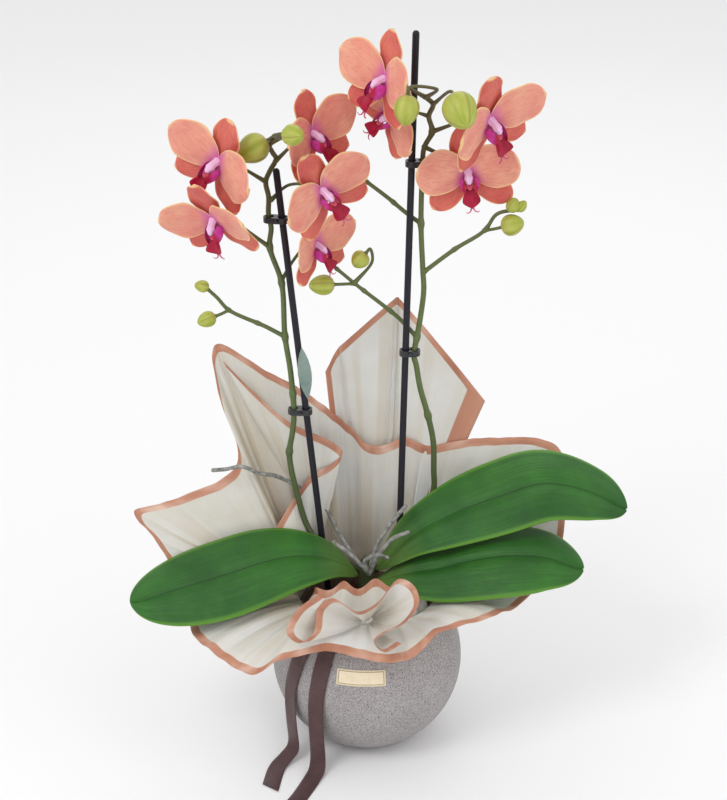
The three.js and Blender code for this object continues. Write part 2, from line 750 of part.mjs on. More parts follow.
// A torus cuts its squares along one diagonal. Seen from one side, its returning half then cuts them the other
// way, and two thin sheets made from it would cross where a square is twisted: so that half is cut anew.
function matchSheets(torus, rows, around) {
  const index = torus.index;
  for (let i = rows * around * 6; i < index.count; i += 6) {
    const [a, b, d, , c] = [0, 1, 2, 3, 4].map((k) => index.getX(i + k));
    [a, b, c, a, c, d].forEach((vertex, k) => index.setX(i + k, vertex));
  }
  return torus;
}

function film() {
  const edge = new THREE.CatmullRomCurve3(followNeck(FILM_EDGE), true, "centripetal");
  const around = 84;
  const rows = 4;
  // The film's middle surface: u runs once round, row from the neck's lower end to the open edge.
  const surface = (u, row) => {
    const tip = edge.getPoint(u);
    const angle = Math.atan2(tip.y, tip.x);
    const pleat = PLEAT_DEPTH * Math.cos(PLEATS * 2 * Math.PI * u);
    const ring = (radius, height) => vec(radius * Math.cos(angle), radius * Math.sin(angle), height);
    const levels = [
      ring(FILM_MOUTH_RADIUS, POT_HEIGHT - FILM_DEPTH),
      ring(FILM_MOUTH_RADIUS, POT_HEIGHT),
      ring(FILM_NECK_RADIUS, RIBBON_TOP + 1),
    ];
    if (row < levels.length) return levels[row];
    const start = ring(FILM_NECK_RADIUS, RIBBON_TOP + 1);
    const share = (row - 2) / (rows - 2);
    const point = start.lerp(tip, share);
    const bulge = tip.z < 160 ? 5 : -6;
    return point.add(ring(pleat, bulge * Math.sin(Math.PI * share)));
  };
  const ring = matchSheets(new THREE.TorusGeometry(1, 0.3, rows * 2, around), rows, around);
  return reshape(ring, (point, u, v) => {
    const turn = u >= 1 ? 0 : u;
    const lap = v >= 1 ? 0 : v;
    const outgoing = lap <= 0.5;
    const row = Math.round((outgoing ? lap : 1 - lap) * 2 * rows);
    const here = surface(turn, row);
    if (row === 0 || row === rows) return here;
    const across = surface((turn + 0.004) % 1, row).sub(surface((turn + 0.996) % 1, row));
    const along = surface(turn, row + 1).sub(surface(turn, row - 1));
    const normal = across.cross(along).normalize();
    return here.addScaledVector(normal, ((outgoing ? 1 : -1) * FILM_THICKNESS) / 2);
  });
}

// The tall flap behind: one corner of the film that stands up against the outside of the rest.
const BACK_FLAP_EDGE = [
  vec(-36, 82, 306),
  vec(-24, 85, 328),
  vec(26, 86, 374),
  vec(64, 86, 328),
  vec(103, 82, 278),
];
const BACK_FLAP_BEARINGS = { left: 108, right: 48 };

function backFlap() {
  const edge = new THREE.CatmullRomCurve3(followNeck(BACK_FLAP_EDGE), false, "centripetal");
  const reach = FILM_NECK_RADIUS + 3.5;
  return strip(14, 4, FILM_THICKNESS, (t) => {
    const bearing = degrees(THREE.MathUtils.lerp(BACK_FLAP_BEARINGS.left, BACK_FLAP_BEARINGS.right, t));
    return [vec(reach * Math.cos(bearing), reach * Math.sin(bearing), RIBBON_TOP + 8), edge.getPoint(t)];
  });
}

// A thin strip along a curve: edges(t) gives the two edge points, and the thickness is set square to it.
function strip(steps, across, thickness, edges) {
  const box = new THREE.BoxGeometry(1, 1, 1, steps, across, 1);
  return reshape(box, (point) => {
    const t = point.x + 0.5;
    const [low, high] = edges(t);
    const [before] = edges(Math.max(0, t - 0.01));
    const [after] = edges(Math.min(1, t + 0.01));
    const normal = after.sub(before).cross(high.clone().sub(low)).normalize();
    return low.lerp(high, point.y + 0.5).addScaledVector(normal, point.z * thickness);
  });
}

// The ruffle: the film's edge folded into loops at the front, narrowing to the neck behind the ribbon's knot.
const RUFFLE_EDGE = [
  vec(-40, -84, 182),
  vec(-58, -88, 168),
  vec(-66, -92, 150),
  vec(-56, -95, 142),
  vec(-44, -92, 150),
  vec(-40, -82, 168),
  vec(-28, -84, 178),
  vec(-8, -92, 170),
  vec(8, -88, 176),
  vec(26, -84, 196),
  vec(38, -88, 192),
  vec(42, -94, 180),
  vec(30, -100, 164),
  vec(14, -102, 156),
  vec(6, -104, 148),
  vec(14, -106, 140),
  vec(28, -102, 146),
];
const RUFFLE_ROOT = vec(0, 3.3 - FILM_NECK_RADIUS, RIBBON_TOP + 2.3); // just inside the film's neck

function ruffle() {
  const edge = new THREE.CatmullRomCurve3(followNeck(RUFFLE_EDGE), false, "centripetal");
  return strip(40, 2, FILM_THICKNESS, (t) => {
    const outer = edge.getPoint(t);
    const inner = RUFFLE_ROOT.clone().lerp(outer, 0.2);
    return [inner, outer];
  });
}

// ---- ribbon ----

const KNOT_ANGLE = degrees(234);
const KNOT = vec(8.5, 4.2, 7.2); // half sizes: along the band, out from it, and up

function ribbonBand() {
  const outer = RIBBON_INNER + RIBBON_THICKNESS;
  const profile = [
    new THREE.Vector2(RIBBON_INNER, RIBBON_FOOT),
    new THREE.Vector2(outer, RIBBON_FOOT),
    new THREE.Vector2(outer, RIBBON_TOP - 1.5),
    new THREE.Vector2(RIBBON_INNER, RIBBON_TOP - 1.5),
    new THREE.Vector2(RIBBON_INNER, RIBBON_FOOT),
  ];
  const band = new THREE.LatheGeometry(profile, 48).rotateX(Math.PI / 2);
  const knot = ball(vec(0, 0, 0), KNOT, 8, 6).rotateZ(KNOT_ANGLE + Math.PI / 2);
  const reach = outer + KNOT.y * 0.8;
  const height = (RIBBON_FOOT + RIBBON_TOP) / 2;
  knot.translate(reach * Math.cos(KNOT_ANGLE), reach * Math.sin(KNOT_ANGLE), height);
  const inside = new THREE.CylinderGeometry(RIBBON_INNER, RIBBON_INNER, 60, 48).rotateX(Math.PI / 2);
  inside.rotateZ(Math.PI / 2).translate(0, 0, height);
  return cut(join([band, knot]), [inside]);
}

// A tail runs from the knot down the pot's belly, hangs from it, and lies on the table.
// angles are the bearings of its middle line at the rim, at the belly and where it meets the table.
const TAIL_CLEAR = 1;
const TABLE_CLEAR = 0.4;
const TAILS = {
  ribbon_tail_left: {
    rim: 226,
    belly: 219,
    floor: [vec(-64, -54, 9), vec(-70, -59, 2.5), vec(-77, -70, 0), vec(-82, -99, 0)],
  },
  ribbon_tail_right: {
    rim: 243,
    belly: 239,
    floor: [vec(-42, -73, 9), vec(-43, -78, 2.5), vec(-47, -88, 0), vec(-62, -124, 0)],
  },
};

function ribbonTail({ rim, belly, floor }) {
  const points = [];
  const rimReach = shellRadius(BELLY_RADIUS, POT_HEIGHT) + TAIL_CLEAR;
  points.push(vec(rimReach * Math.cos(degrees(rim)), rimReach * Math.sin(degrees(rim)), POT_HEIGHT + 1));
  const stops = 4;
  for (let i = 1; i <= stops; i++) {
    const height = POT_HEIGHT + ((BELLY_HEIGHT - POT_HEIGHT) * i) / stops;
    const reach = shellRadius(BELLY_RADIUS, height) + TAIL_CLEAR;
    const angle = degrees(rim + ((belly - rim) * i) / stops);
    points.push(vec(reach * Math.cos(angle), reach * Math.sin(angle), height));
  }
  const hang = points[points.length - 1].clone().setZ(BELLY_HEIGHT * 0.45);
  points.push(hang);
  for (const point of floor) points.push(point.clone().setZ(point.z + TABLE_CLEAR + RIBBON_THICKNESS / 2));
  const path = new THREE.CatmullRomCurve3(points, false, "centripetal");
  return strip(30, 1, RIBBON_THICKNESS, (t) => {
    const middle = path.getPoint(t);
    const along = path.getTangent(t);
    const outward = vec(middle.x, middle.y, 0).normalize();
    const across = vec(-outward.y, outward.x, 0);
    across.addScaledVector(along, -across.dot(along)).normalize().multiplyScalar(RIBBON_WIDTH / 2);
    return [middle.clone().sub(across), middle.add(across)];
  });
}

// ---- label ----

function label() {
  const middle = vec(-5.5, 0, 97);
  return strip(6, 3, LABEL_THICKNESS, (t) => {
    const angle = (t - 0.5) * (LABEL_WIDTH / BELLY_RADIUS);
    return [-0.5, 0.5].map((part) => {
      const height = middle.z + part * LABEL_HEIGHT * 0.95;
      const reach = shellRadius(BELLY_RADIUS, height) + LABEL_THICKNESS / 2 + SEAT_GAP + 0.2;
      const bearing = degrees(-90) + middle.x / BELLY_RADIUS + angle * (BELLY_RADIUS / reach);
      return vec(reach * Math.cos(bearing), reach * Math.sin(bearing), height);
    });
  });
}

// ---- the whole plant ----

add("cover_pot", coverPot(), 0x9a9492, 0.85);
add("pot_label", label(), 0xe8d9b8, 0.5);
add("nursery_pot", nurseryPot(), 0x4a3a32, 0.5);
add("bark_medium", barkMedium(), 0x5a3d28, 0.95);
add("crown_stem", crown(), 0x6f8a4a, 0.6);
add("wrapper_film", film(), 0xe6e1d6, 0.45);
add("wrapper_back", backFlap(), 0xe6e6e6, 0.45);
add("wrapper_ruffle", ruffle(), 0xe6dccb, 0.45);
add("ribbon_band", ribbonBand(), 0x4d3430, 0.4);
for (const [name, tail] of Object.entries(TAILS)) add(name, ribbonTail(tail), 0x4d3430, 0.4);
for (const [side, stake] of Object.entries(STAKES)) {
  add(`stake_${side}`, rod(stakeEnd(stake), stake.top, STAKE_RADIUS), 0x26242e, 0.5);
}
for (const [name, shape] of Object.entries(LEAVES)) add(name, leaf(shape), 0x3f7f38, 0.4);

const part = (table, prefix) => {
  const names = Object.keys(table).filter((name) => name.startsWith(prefix));
  return names.map((name) => table[name]);
};
const leftSpike = spike(
  LEFT_SPIKE,
  [LEFT_BRANCH],
  LEFT_NODES,
  part(FLOWERS, "flower_left"),
  part(BUDS, "bud_left"),
  LEFT_TIP_BUDS,
);
const rightSpike = spike(
  RIGHT_SPIKE,
  RIGHT_BRANCHES,
  RIGHT_NODES,
  part(FLOWERS, "flower_right"),
  [...part(BUDS, "bud_right"), ...part(BUDS, "bud_lower")],
  RIGHT_TIP_BUDS,
);
add("spike_left", leftSpike, 0x66703f, 0.55);
add("spike_right", rightSpike, 0x66703f, 0.55);
for (const [name, one] of Object.entries(CLIPS)) add(name, clip(one), 0x2b3034, 0.45);
add("plant_tag", tag(), 0x6f8079, 0.5);
add("aerial_root_long", tube(LONG_ROOT, ROOT_RADIUS, 6, 26), 0xb4b2aa, 0.8);
add("aerial_roots_crown", join(CROWN_ROOTS.map((line) => tube(line, ROOT_RADIUS, 6, 8))), 0xb4b2aa, 0.8);
for (const [name, one] of Object.entries(BUDS)) add(name, bud(one), 0xb4bf48, 0.5);
for (const [name, flower] of Object.entries(FLOWERS)) {
  const frame = flowerMatrix(flower);
  add(`${name}_sepals`, sepals(flower.size).applyMatrix4(frame), 0xd9785f, 0.55);
  add(`${name}_petals`, petals(flower.size).applyMatrix4(frame), 0xe89a7c, 0.55);
  add(`${name}_lip`, lip(flower.size).applyMatrix4(frame), 0xc0204a, 0.45);
}

export default group;
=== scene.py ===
# %% [markdown]
# # A potted moth orchid
# Two flower spikes tied to dark stakes grow out of a wrapped pot: nine open flowers, eleven buds, three broad
# leaves, frosted film with a copper edge and a satin ribbon round a speckled stoneware pot.
# A plain, exact model of every piece already exists. It is loaded first and never moved: each fine piece below
# takes its place and size from it, so that nothing has to be fitted afterwards. Everything is in metres, +Z up,
# with the front towards -Y.

# %% Load the plain model
import math

import bmesh
import bpy
import numpy as np
from mathutils import Matrix, Vector, noise


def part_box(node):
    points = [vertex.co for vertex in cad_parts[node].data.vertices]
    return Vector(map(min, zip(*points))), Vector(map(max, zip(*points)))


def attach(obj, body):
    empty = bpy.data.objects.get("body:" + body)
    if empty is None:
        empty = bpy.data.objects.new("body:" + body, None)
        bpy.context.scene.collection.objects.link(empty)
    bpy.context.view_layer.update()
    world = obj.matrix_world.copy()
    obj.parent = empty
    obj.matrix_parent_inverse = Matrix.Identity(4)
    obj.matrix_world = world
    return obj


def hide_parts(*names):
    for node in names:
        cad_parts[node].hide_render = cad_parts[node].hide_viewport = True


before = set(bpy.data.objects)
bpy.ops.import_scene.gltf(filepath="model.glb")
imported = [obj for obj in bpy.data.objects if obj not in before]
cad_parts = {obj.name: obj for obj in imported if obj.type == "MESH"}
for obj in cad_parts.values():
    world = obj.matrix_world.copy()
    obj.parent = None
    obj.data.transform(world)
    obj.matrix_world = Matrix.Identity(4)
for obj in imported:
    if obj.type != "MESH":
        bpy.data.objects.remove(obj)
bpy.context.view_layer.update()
MM = 0.001
WELD = 2e-6  # metres: vertices that lie closer together than this are made one
ANY_TURN = 6.3  # radians, a full turn and a little, for random turns
chance = np.random.default_rng(7)

# %% [markdown]
# ## Camera and light
# The plant is seen from a little above, from about a metre and a half away, with a lens of 87 mm on a 36 mm
# sensor. Soft light comes from a large lamp high on the left, a weaker one on the right and another one behind,
# and a bright white world fills the shadows, as in a light tent.

# %% Camera
CAMERA_TILT = 65  # degrees up from looking straight down
camera_data = bpy.data.cameras.new("camera")
camera_data.lens = 87.1
camera_data.sensor_width = 36
camera_data.clip_end = 100
camera = bpy.data.objects.new("camera", camera_data)
camera.location = (-0.003, -1.447, 0.992)
camera.rotation_euler = (math.radians(CAMERA_TILT), 0, 0)
bpy.context.scene.collection.objects.link(camera)
bpy.context.scene.camera = camera
bpy.context.scene.view_settings.view_transform = "Standard"


# %% Lamps and world
PLANT_MIDDLE = Vector((0, 0, 0.35))
WORLD_LIGHT = 0.86


def soft_lamp(name, place, size, watts):
    data = bpy.data.lights.new(name, "AREA")
    data.shape = "DISK"
    data.size = size
    data.energy = watts
    lamp = bpy.data.objects.new(name, data)
    lamp.location = place
    lamp.rotation_euler = (PLANT_MIDDLE - Vector(place)).to_track_quat("-Z", "Y").to_euler()
    bpy.context.scene.collection.objects.link(lamp)


soft_lamp("key_lamp", (-1.2, -1.3, 2.1), 1.0, 15)
soft_lamp("side_lamp", (1.6, -0.9, 1.3), 1.4, 4)
soft_lamp("back_lamp", (0.2, 1.6, 1.6), 1.4, 4)

world = bpy.data.worlds.new("light_tent")
world.use_nodes = True
world.node_tree.nodes["Background"].inputs["Color"].default_value = (1, 1, 1, 1)
world.node_tree.nodes["Background"].inputs["Strength"].default_value = WORLD_LIGHT
bpy.context.scene.world = world

# %% [markdown]
# ## Helpers for finishes
# Every finish is one Principled shader with a few pattern nodes in front of it. These helpers keep each of them
# to a few lines. Colours are written as they look on a screen, from 0 to 255, and turned to linear light.


# %% Colour and node helpers
def colour(red, green, blue):
    """A screen colour as linear light, by the standard curve of screens."""

    def linear(value):
        value /= 255
        return value / 12.92 if value <= 0.04045 else ((value + 0.055) / 1.055) ** 2.4

    return (linear(red), linear(green), linear(blue), 1)


class Finish:
    """One material, with short calls for the pattern nodes that it needs."""

    def __init__(self, name, **constants):
        self.material = bpy.data.materials.new(name)
        self.material.use_nodes = True
        self.tree = self.material.node_tree
        self.shader = self.tree.nodes["Principled BSDF"]
        for socket, value in constants.items():
            self.shader.inputs[socket.replace("_", " ")].default_value = value

    def node(self, kind, output=0, settings=None, **inputs):
        made = self.tree.nodes.new("ShaderNode" + kind)
        for key, value in (settings or {}).items():
            setattr(made, key, value)
        for key, value in inputs.items():
            socket = made.inputs[int(key[1:])] if key[0] == "_" else made.inputs[key.replace("_", " ")]
            if isinstance(value, bpy.types.NodeSocket):
                self.tree.links.new(value, socket)
            else:
                socket.default_value = value
        return made.outputs[output]

    def place(self):
        return self.node("TexCoord", "Object")

    def uv(self):
        return self.node("TexCoord", "UV")

    def stretched(self, vector, scale):
        return self.node("Mapping", Vector=vector, Scale=scale)

    def axis(self, vector, letter):
        return self.node("SeparateXYZ", letter, Vector=vector)

    def off_middle(self, vector, letter):
        """How far a place is from the middle of a 0 to 1 coordinate: 0 to 0.5."""
        return self.math("ABSOLUTE", self.math("SUBTRACT", self.axis(vector, letter), 0.5))

    def math(self, operation, first, second=0.0):
        return self.node("Math", settings={"operation": operation}, _0=first, _1=second)

    def noise(self, vector, scale, detail=4.0, roughness=0.55):
        return self.node("TexNoise", "Fac", Vector=vector, Scale=scale, Detail=detail, Roughness=roughness)

    def spots(self, vector, scale):
        return self.node("TexVoronoi", "Distance", Vector=vector, Scale=scale)

    def ramp(self, factor, *stops):
        made = self.tree.nodes.new("ShaderNodeValToRGB")
        for index, (position, value) in enumerate(stops):
            stop = made.color_ramp.elements[index] if index < 2 else made.color_ramp.elements.new(position)
            stop.position = position
            stop.color = value if isinstance(value, tuple) else (value, value, value, 1)
        self.tree.links.new(factor, made.inputs["Fac"])
        return made.outputs["Color"]

    def two_tone(self, pattern, dark, light):
        """Two colours mixed by a pattern, and plain where the pattern is under 0.3 or over 0.7."""
        return self.ramp(pattern, (0.3, dark), (0.7, light))

    def blend(self, share, first, second, mode="MIX"):
        settings = {"data_type": "RGBA", "blend_type": mode}
        return self.node("Mix", 2, settings, _0=share, _6=first, _7=second)

    def paint(self, value):
        self.tree.links.new(value, self.shader.inputs["Base Color"])

    def roughen(self, value):
        self.tree.links.new(value, self.shader.inputs["Roughness"])

    def bump(self, height, distance, strength=1.0):
        normal = self.node("Bump", "Normal", Strength=strength, Distance=distance, Height=height)
        self.tree.links.new(normal, self.shader.inputs["Normal"])


# %% [markdown]
# ## Helpers for pieces
# A piece is a bmesh turned into an object. It rides on the plant's one body and hides the plain solid that it
# replaces. Most pieces here are bent surfaces, so most start as a flat grid whose vertices are then moved to their
# places by a short rule.


# %% Make an object of a bmesh
def piece(bm, name, materials, stands_for=()):
    mesh = bpy.data.meshes.new(name)
    bm.to_mesh(mesh)
    bm.free()
    mesh.shade_smooth()
    for finish in materials:
        mesh.materials.append(finish.material)
    made = bpy.data.objects.new(name, mesh)
    bpy.context.scene.collection.objects.link(made)
    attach(made, "root")
    if stands_for:
        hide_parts(*stands_for)
    print(f"{name}: {len(mesh.polygons)} faces")
    return made


def thicken(made, thickness, back_material=0, rim_material=0):
    solidify = made.modifiers.new("thickness", "SOLIDIFY")
    solidify.thickness = thickness
    solidify.offset = 0
    solidify.material_offset = back_material
    solidify.material_offset_rim = rim_material
    return made


# %% Grids and plain solids
def grid_patch(bm, columns, rows, place, uv, material=0):
    """A grid whose vertex at shares (s, t), both from 0 to 1, goes to place(s, t), with uv(s, t) painted on it."""
    made = bmesh.ops.create_grid(bm, x_segments=columns, y_segments=rows, size=0.5)
    layer = bm.loops.layers.uv.verify()
    shares = {vertex: (vertex.co.x + 0.5, vertex.co.y + 0.5) for vertex in made["verts"]}
    faces = {face for vertex in made["verts"] for face in vertex.link_faces}
    for face in faces:
        face.material_index = material
        for loop in face.loops:
            loop[layer].uv = uv(*shares[loop.vert])
    for vertex, (s, t) in shares.items():
        vertex.co = place(s, t)
    return made["verts"]


def plain_mesh(node):
    """A merged copy of a plain node's mesh as a bmesh."""
    bm = bmesh.new()
    bm.from_mesh(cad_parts[node].data)
    bmesh.ops.remove_doubles(bm, verts=bm.verts, dist=WELD / 2)
    return bm


def points_of(node):
    return np.array([vertex.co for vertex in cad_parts[node].data.vertices], float)


# %% [markdown]
# ## Floor
# A large plain plane just under the foot of the pot.

# %% Lay the floor
FLOOR_REACH = 40  # metres to each edge, so that no view shows one
floor_bm = bmesh.new()
bmesh.ops.create_grid(floor_bm, x_segments=1, y_segments=1, size=FLOOR_REACH)
floor_mesh = bpy.data.meshes.new("floor")
floor_bm.to_mesh(floor_mesh)
floor_bm.free()
floor = bpy.data.objects.new("floor", floor_mesh)
bpy.context.scene.collection.objects.link(floor)
floor_finish = Finish("pale_floor", Base_Color=colour(246, 246, 247), Roughness=0.8, Specular_IOR_Level=0.1)
floor_mesh.materials.append(floor_finish.material)

# %% [markdown]
# ## The stoneware pot
# The pot is a ball of clay with a flat foot and an open mouth, thrown on a wheel. So it is made the same way: one
# half of its section is drawn as a line and spun round the upright axis. The glaze is matt and speckled, and its
# grain stands out a little, so the pattern also drives the bump.

# %% Speckled glaze
stoneware = Finish("speckled_stoneware", Roughness=0.85, Specular_IOR_Level=0.3)
where = stoneware.place()
clouds = stoneware.noise(where, 28, 3)
grain = stoneware.noise(where, 950, 2, 0.7)
base = stoneware.two_tone(clouds, colour(152, 148, 148), colour(170, 166, 167))
fine = stoneware.ramp(
    grain, (0.34, colour(104, 98, 96)), (0.5, colour(162, 157, 156)), (0.68, colour(208, 204, 202))
)
glaze = stoneware.blend(0.55, base, fine)
specks = stoneware.ramp(stoneware.spots(where, 420), (0.13, 1.0), (0.22, 0.0))
stoneware.paint(stoneware.blend(specks, glaze, colour(70, 62, 60)))
stoneware.bump(grain, 0.0004, 0.6)

# %% Spin the pot
_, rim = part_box("cover_pot")
ball_radius = rim.x
pot_height = rim.z
pot_points = points_of("cover_pot")
foot_radius = np.hypot(*pot_points[pot_points[:, 2] < MM, :2].T).max()
belly_height = math.sqrt(ball_radius**2 - foot_radius**2)
POT_WALL = 6 * MM
POT_FLOOR = 8 * MM
LIP_SAG = 1.2 * MM  # how much the rounded lip falls off to both sides
LIP_HALF = 1.5 * MM  # half the flat top of the lip
FOOT_EDGE = 1.6 * MM  # the height at which the foot's rounded edge has become the ball


def spun(bm, profile, steps=128):
    """Spins a profile of (reach, height) points once round the upright axis."""
    line = [bm.verts.new((reach, 0, height)) for reach, height in profile]
    edges = [bm.edges.new(pair) for pair in zip(line, line[1:])]
    bmesh.ops.spin(
        bm, geom=line + edges, cent=(0, 0, 0), axis=(0, 0, 1), angle=2 * math.pi, steps=steps, use_merge=True
    )
    bmesh.ops.remove_doubles(bm, verts=bm.verts, dist=WELD / 2)
    bmesh.ops.recalc_face_normals(bm, faces=bm.faces)


def ball_reach(radius, height):
    return math.sqrt(max(0, radius**2 - (height - belly_height) ** 2))


bm = bmesh.new()
outside = [(0, 0), (foot_radius - 3 * MM, 0), (foot_radius - 1 * MM, 0.4 * MM)]
for height in np.linspace(FOOT_EDGE, pot_height - LIP_SAG, 40):
    outside.append((ball_reach(ball_radius, height), height))
mouth = ball_reach(ball_radius - POT_WALL, pot_height)
lip_middle = (mouth + ball_reach(ball_radius, pot_height)) / 2
inside = [(lip_middle + LIP_HALF, pot_height), (lip_middle - LIP_HALF, pot_height)]
for height in np.linspace(pot_height - LIP_SAG, POT_FLOOR, 30):
    inside.append((ball_reach(ball_radius - POT_WALL, height), height))
inside.append((0, POT_FLOOR))
spun(bm, outside + inside)
piece(bm, "stoneware_pot", [stoneware], ["cover_pot"])

# %% [markdown]
# ## The sticker on the pot
# A blank cream paper sticker with a thin darker frame, printed on glossy paper. It follows the ball of the pot, so
# it is a grid laid at a fixed distance outside it, thickened a little.

# %% Sticker
sticker = Finish("cream_sticker", Roughness=0.38)
flat = sticker.uv()
FRAME_SIDE, FRAME_TOP = 0.455, 0.37  # from the middle to the printed frame, as shares of the sticker
HEIGHT_TO_WIDTH = 0.33
past_side = sticker.math("ADD", sticker.off_middle(flat, "X"), -FRAME_SIDE)
past_top = sticker.math("MULTIPLY", sticker.math("ADD", sticker.off_middle(flat, "Y"), -FRAME_TOP), HEIGHT_TO_WIDTH)
past_frame = sticker.math("MAXIMUM", past_side, past_top)
past_frame = sticker.math("ADD", sticker.math("MULTIPLY", past_frame, 10), 0.5)
frame_line = sticker.ramp(past_frame, (0.46, 0.0), (0.5, 1.0), (0.6, 1.0), (0.64, 0.0))
paper = sticker.two_tone(sticker.noise(sticker.place(), 300), colour(231, 214, 182), colour(240, 226, 199))
sticker.paint(sticker.blend(frame_line, paper, colour(150, 126, 88)))

low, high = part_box("pot_label")
STICKER_THICKNESS = 0.3 * MM
STICKER_LIFT = 0.5 * MM  # from the ball to the middle of the paper


def on_ball(s, t):
    bearing = math.asin((low.x + (high.x - low.x) * s) / ball_radius)
    height = low.z + (high.z - low.z) * t
    reach = ball_reach(ball_radius, height) + STICKER_LIFT
    return Vector((reach * math.sin(bearing), -reach * math.cos(bearing), height))


bm = bmesh.new()
grid_patch(bm, 24, 8, on_ball, lambda s, t: (s, t))
bmesh.ops.recalc_face_normals(bm, faces=bm.faces)
thicken(piece(bm, "blank_sticker", [sticker], ["pot_label"]), STICKER_THICKNESS)

# %% [markdown]
# ## Nursery pot and bark
# The plant grows in a thin brown nursery pot, hidden in the stoneware one. Its plain solid is right as it is and
# only needs its finish. Orchids grow in bark chips, not in soil: the chips are small boxes, knocked out of shape
# and strewn over a low mound, which is itself a spun line.

# %% Brown pot plastic
brown_plastic = Finish("nursery_plastic", Roughness=0.45)
streaks = brown_plastic.noise(brown_plastic.stretched(brown_plastic.place(), (1, 1, 0.2)), 90, 3)
brown_plastic.paint(brown_plastic.two_tone(streaks, colour(104, 84, 70), colour(126, 104, 88)))
brown_plastic.bump(streaks, 0.0003)


def refinish(node, finish):
    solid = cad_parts[node]
    solid.data.materials.clear()
    solid.data.materials.append(finish.material)


refinish("nursery_pot", brown_plastic)

# %% Bark finish
bark = Finish("bark_chips", Roughness=0.95, Specular_IOR_Level=0.15)
where = bark.place()
fibres = bark.noise(bark.stretched(where, (1, 0.35, 1)), 420, 5, 0.65)
patches = bark.noise(where, 70, 2)
dark_bark = bark.two_tone(fibres, colour(52, 34, 24), colour(122, 84, 56))
bark.paint(bark.blend(patches, dark_bark, colour(96, 60, 38)))
bark.bump(fibres, 0.0012)

# %% Mound and chips
bark_low, bark_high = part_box("bark_medium")
bark_points = points_of("bark_medium")
bark_reach = np.hypot(*bark_points[bark_points[:, 2] > bark_high.z - 5 * MM, :2].T).max()
CHIPS = 420
CHIP_SIZE = 11 * MM
CROWN_ROOM = 12 * MM  # no chip lies nearer to the middle than this
MOUND_FOOT = 0.048
mound_top = bark_high.z - 3 * MM
mound_edge = mound_top - 6 * MM
bm = bmesh.new()
mound = [(0, bark_low.z), (MOUND_FOOT, bark_low.z), (bark_reach, mound_edge)]
spun(bm, mound + [(bark_reach * 0.6, mound_top), (0, mound_top)], steps=48)
for _ in range(CHIPS):
    bearing, share = chance.uniform(0, 2 * math.pi), math.sqrt(chance.uniform(0, 1))
    reach = share * (bark_reach - 6 * MM)
    if reach < CROWN_ROOM:
        continue
    size = CHIP_SIZE * chance.uniform(0.4, 1)
    turn = Matrix.Rotation(chance.uniform(0, ANY_TURN), 4, "Z") @ Matrix.Rotation(chance.uniform(-0.5, 0.5), 4, "X")
    shape = Matrix.Diagonal((size, size * chance.uniform(0.5, 0.9), size * chance.uniform(0.25, 0.45), 1))
    height = mound_top - 4 * MM * share**2 + chance.uniform(0, 2.5) * MM
    spot = Matrix.Translation((reach * math.cos(bearing), reach * math.sin(bearing), height))
    chip = bmesh.ops.create_cube(bm, size=1, matrix=spot @ turn @ shape)
    for vertex in chip["verts"]:
        vertex.co += Vector(chance.uniform(-0.12, 0.12, 3)) * size
piece(bm, "bark_chips", [bark], ["bark_medium"])

# %% [markdown]
# ## Lines through the plant
# Stems, roots, leaves and the edges of the film are smooth lines through a few points, in millimetres, which are
# those that the plain model was drawn with. A tube is a grid that is rolled up along such a line: its first
# direction runs round and its second runs along. Both ends are rounded off, so that no cut end shows.


# %% Smooth lines and tubes
def smooth(points, count, closed=False):
    """count points on the centripetal curve through points, evenly spread over their order."""
    given = np.array(points, float)
    n = len(given)
    if closed:
        padded = given[np.arange(-1, n + 2) % n]
    else:
        padded = np.vstack([2 * given[0] - given[1], given, 2 * given[-1] - given[-2]])
    spans = n if closed else n - 1
    at = np.linspace(0, spans, count, endpoint=not closed)
    whole = np.minimum(at.astype(int), spans - 1)
    share = (at - whole)[:, None]
    a, b, c, d = (padded[whole + i] for i in range(4))
    steps = ((a, b), (b, c), (c, d))
    ab, bc, cd = (np.sqrt(np.linalg.norm(end - start, axis=1))[:, None] + 1e-9 for start, end in steps)
    leaving = ((b - a) / ab - (c - a) / (ab + bc) + (c - b) / bc) * bc
    arriving = ((c - b) / bc - (d - b) / (bc + cd) + (d - c) / cd) * bc
    bend = -3 * b + 3 * c - 2 * leaving - arriving
    twist = 2 * b - 2 * c + leaving + arriving
    return b + leaving * share + bend * share**2 + twist * share**3


def travelled(line):
    """How far each point of a line is from its first one, measured along it."""
    return np.concatenate([[0], np.cumsum(np.linalg.norm(np.diff(line, axis=0), axis=1))])


def along_line(at, so_far, line):
    """The place at a distance along a line whose own points lie at the distances so_far."""
    return np.stack([np.interp(at, so_far, line[:, i]) for i in range(3)], axis=-1)


def evenly(points, count):
    """The same curve, but with count points at equal distances along it."""
    line = smooth(points, len(points) * 24)
    so_far = travelled(line)
    return along_line(np.linspace(0, so_far[-1], count), so_far, line)


def unit(vector):
    return vector / np.linalg.norm(vector)


def round_axis(reach, bearing, height):
    """The place at a reach from the upright axis, bearing degrees round it from +X, at a height."""
    turn = math.radians(bearing)
    return (reach * math.cos(turn), reach * math.sin(turn), height)


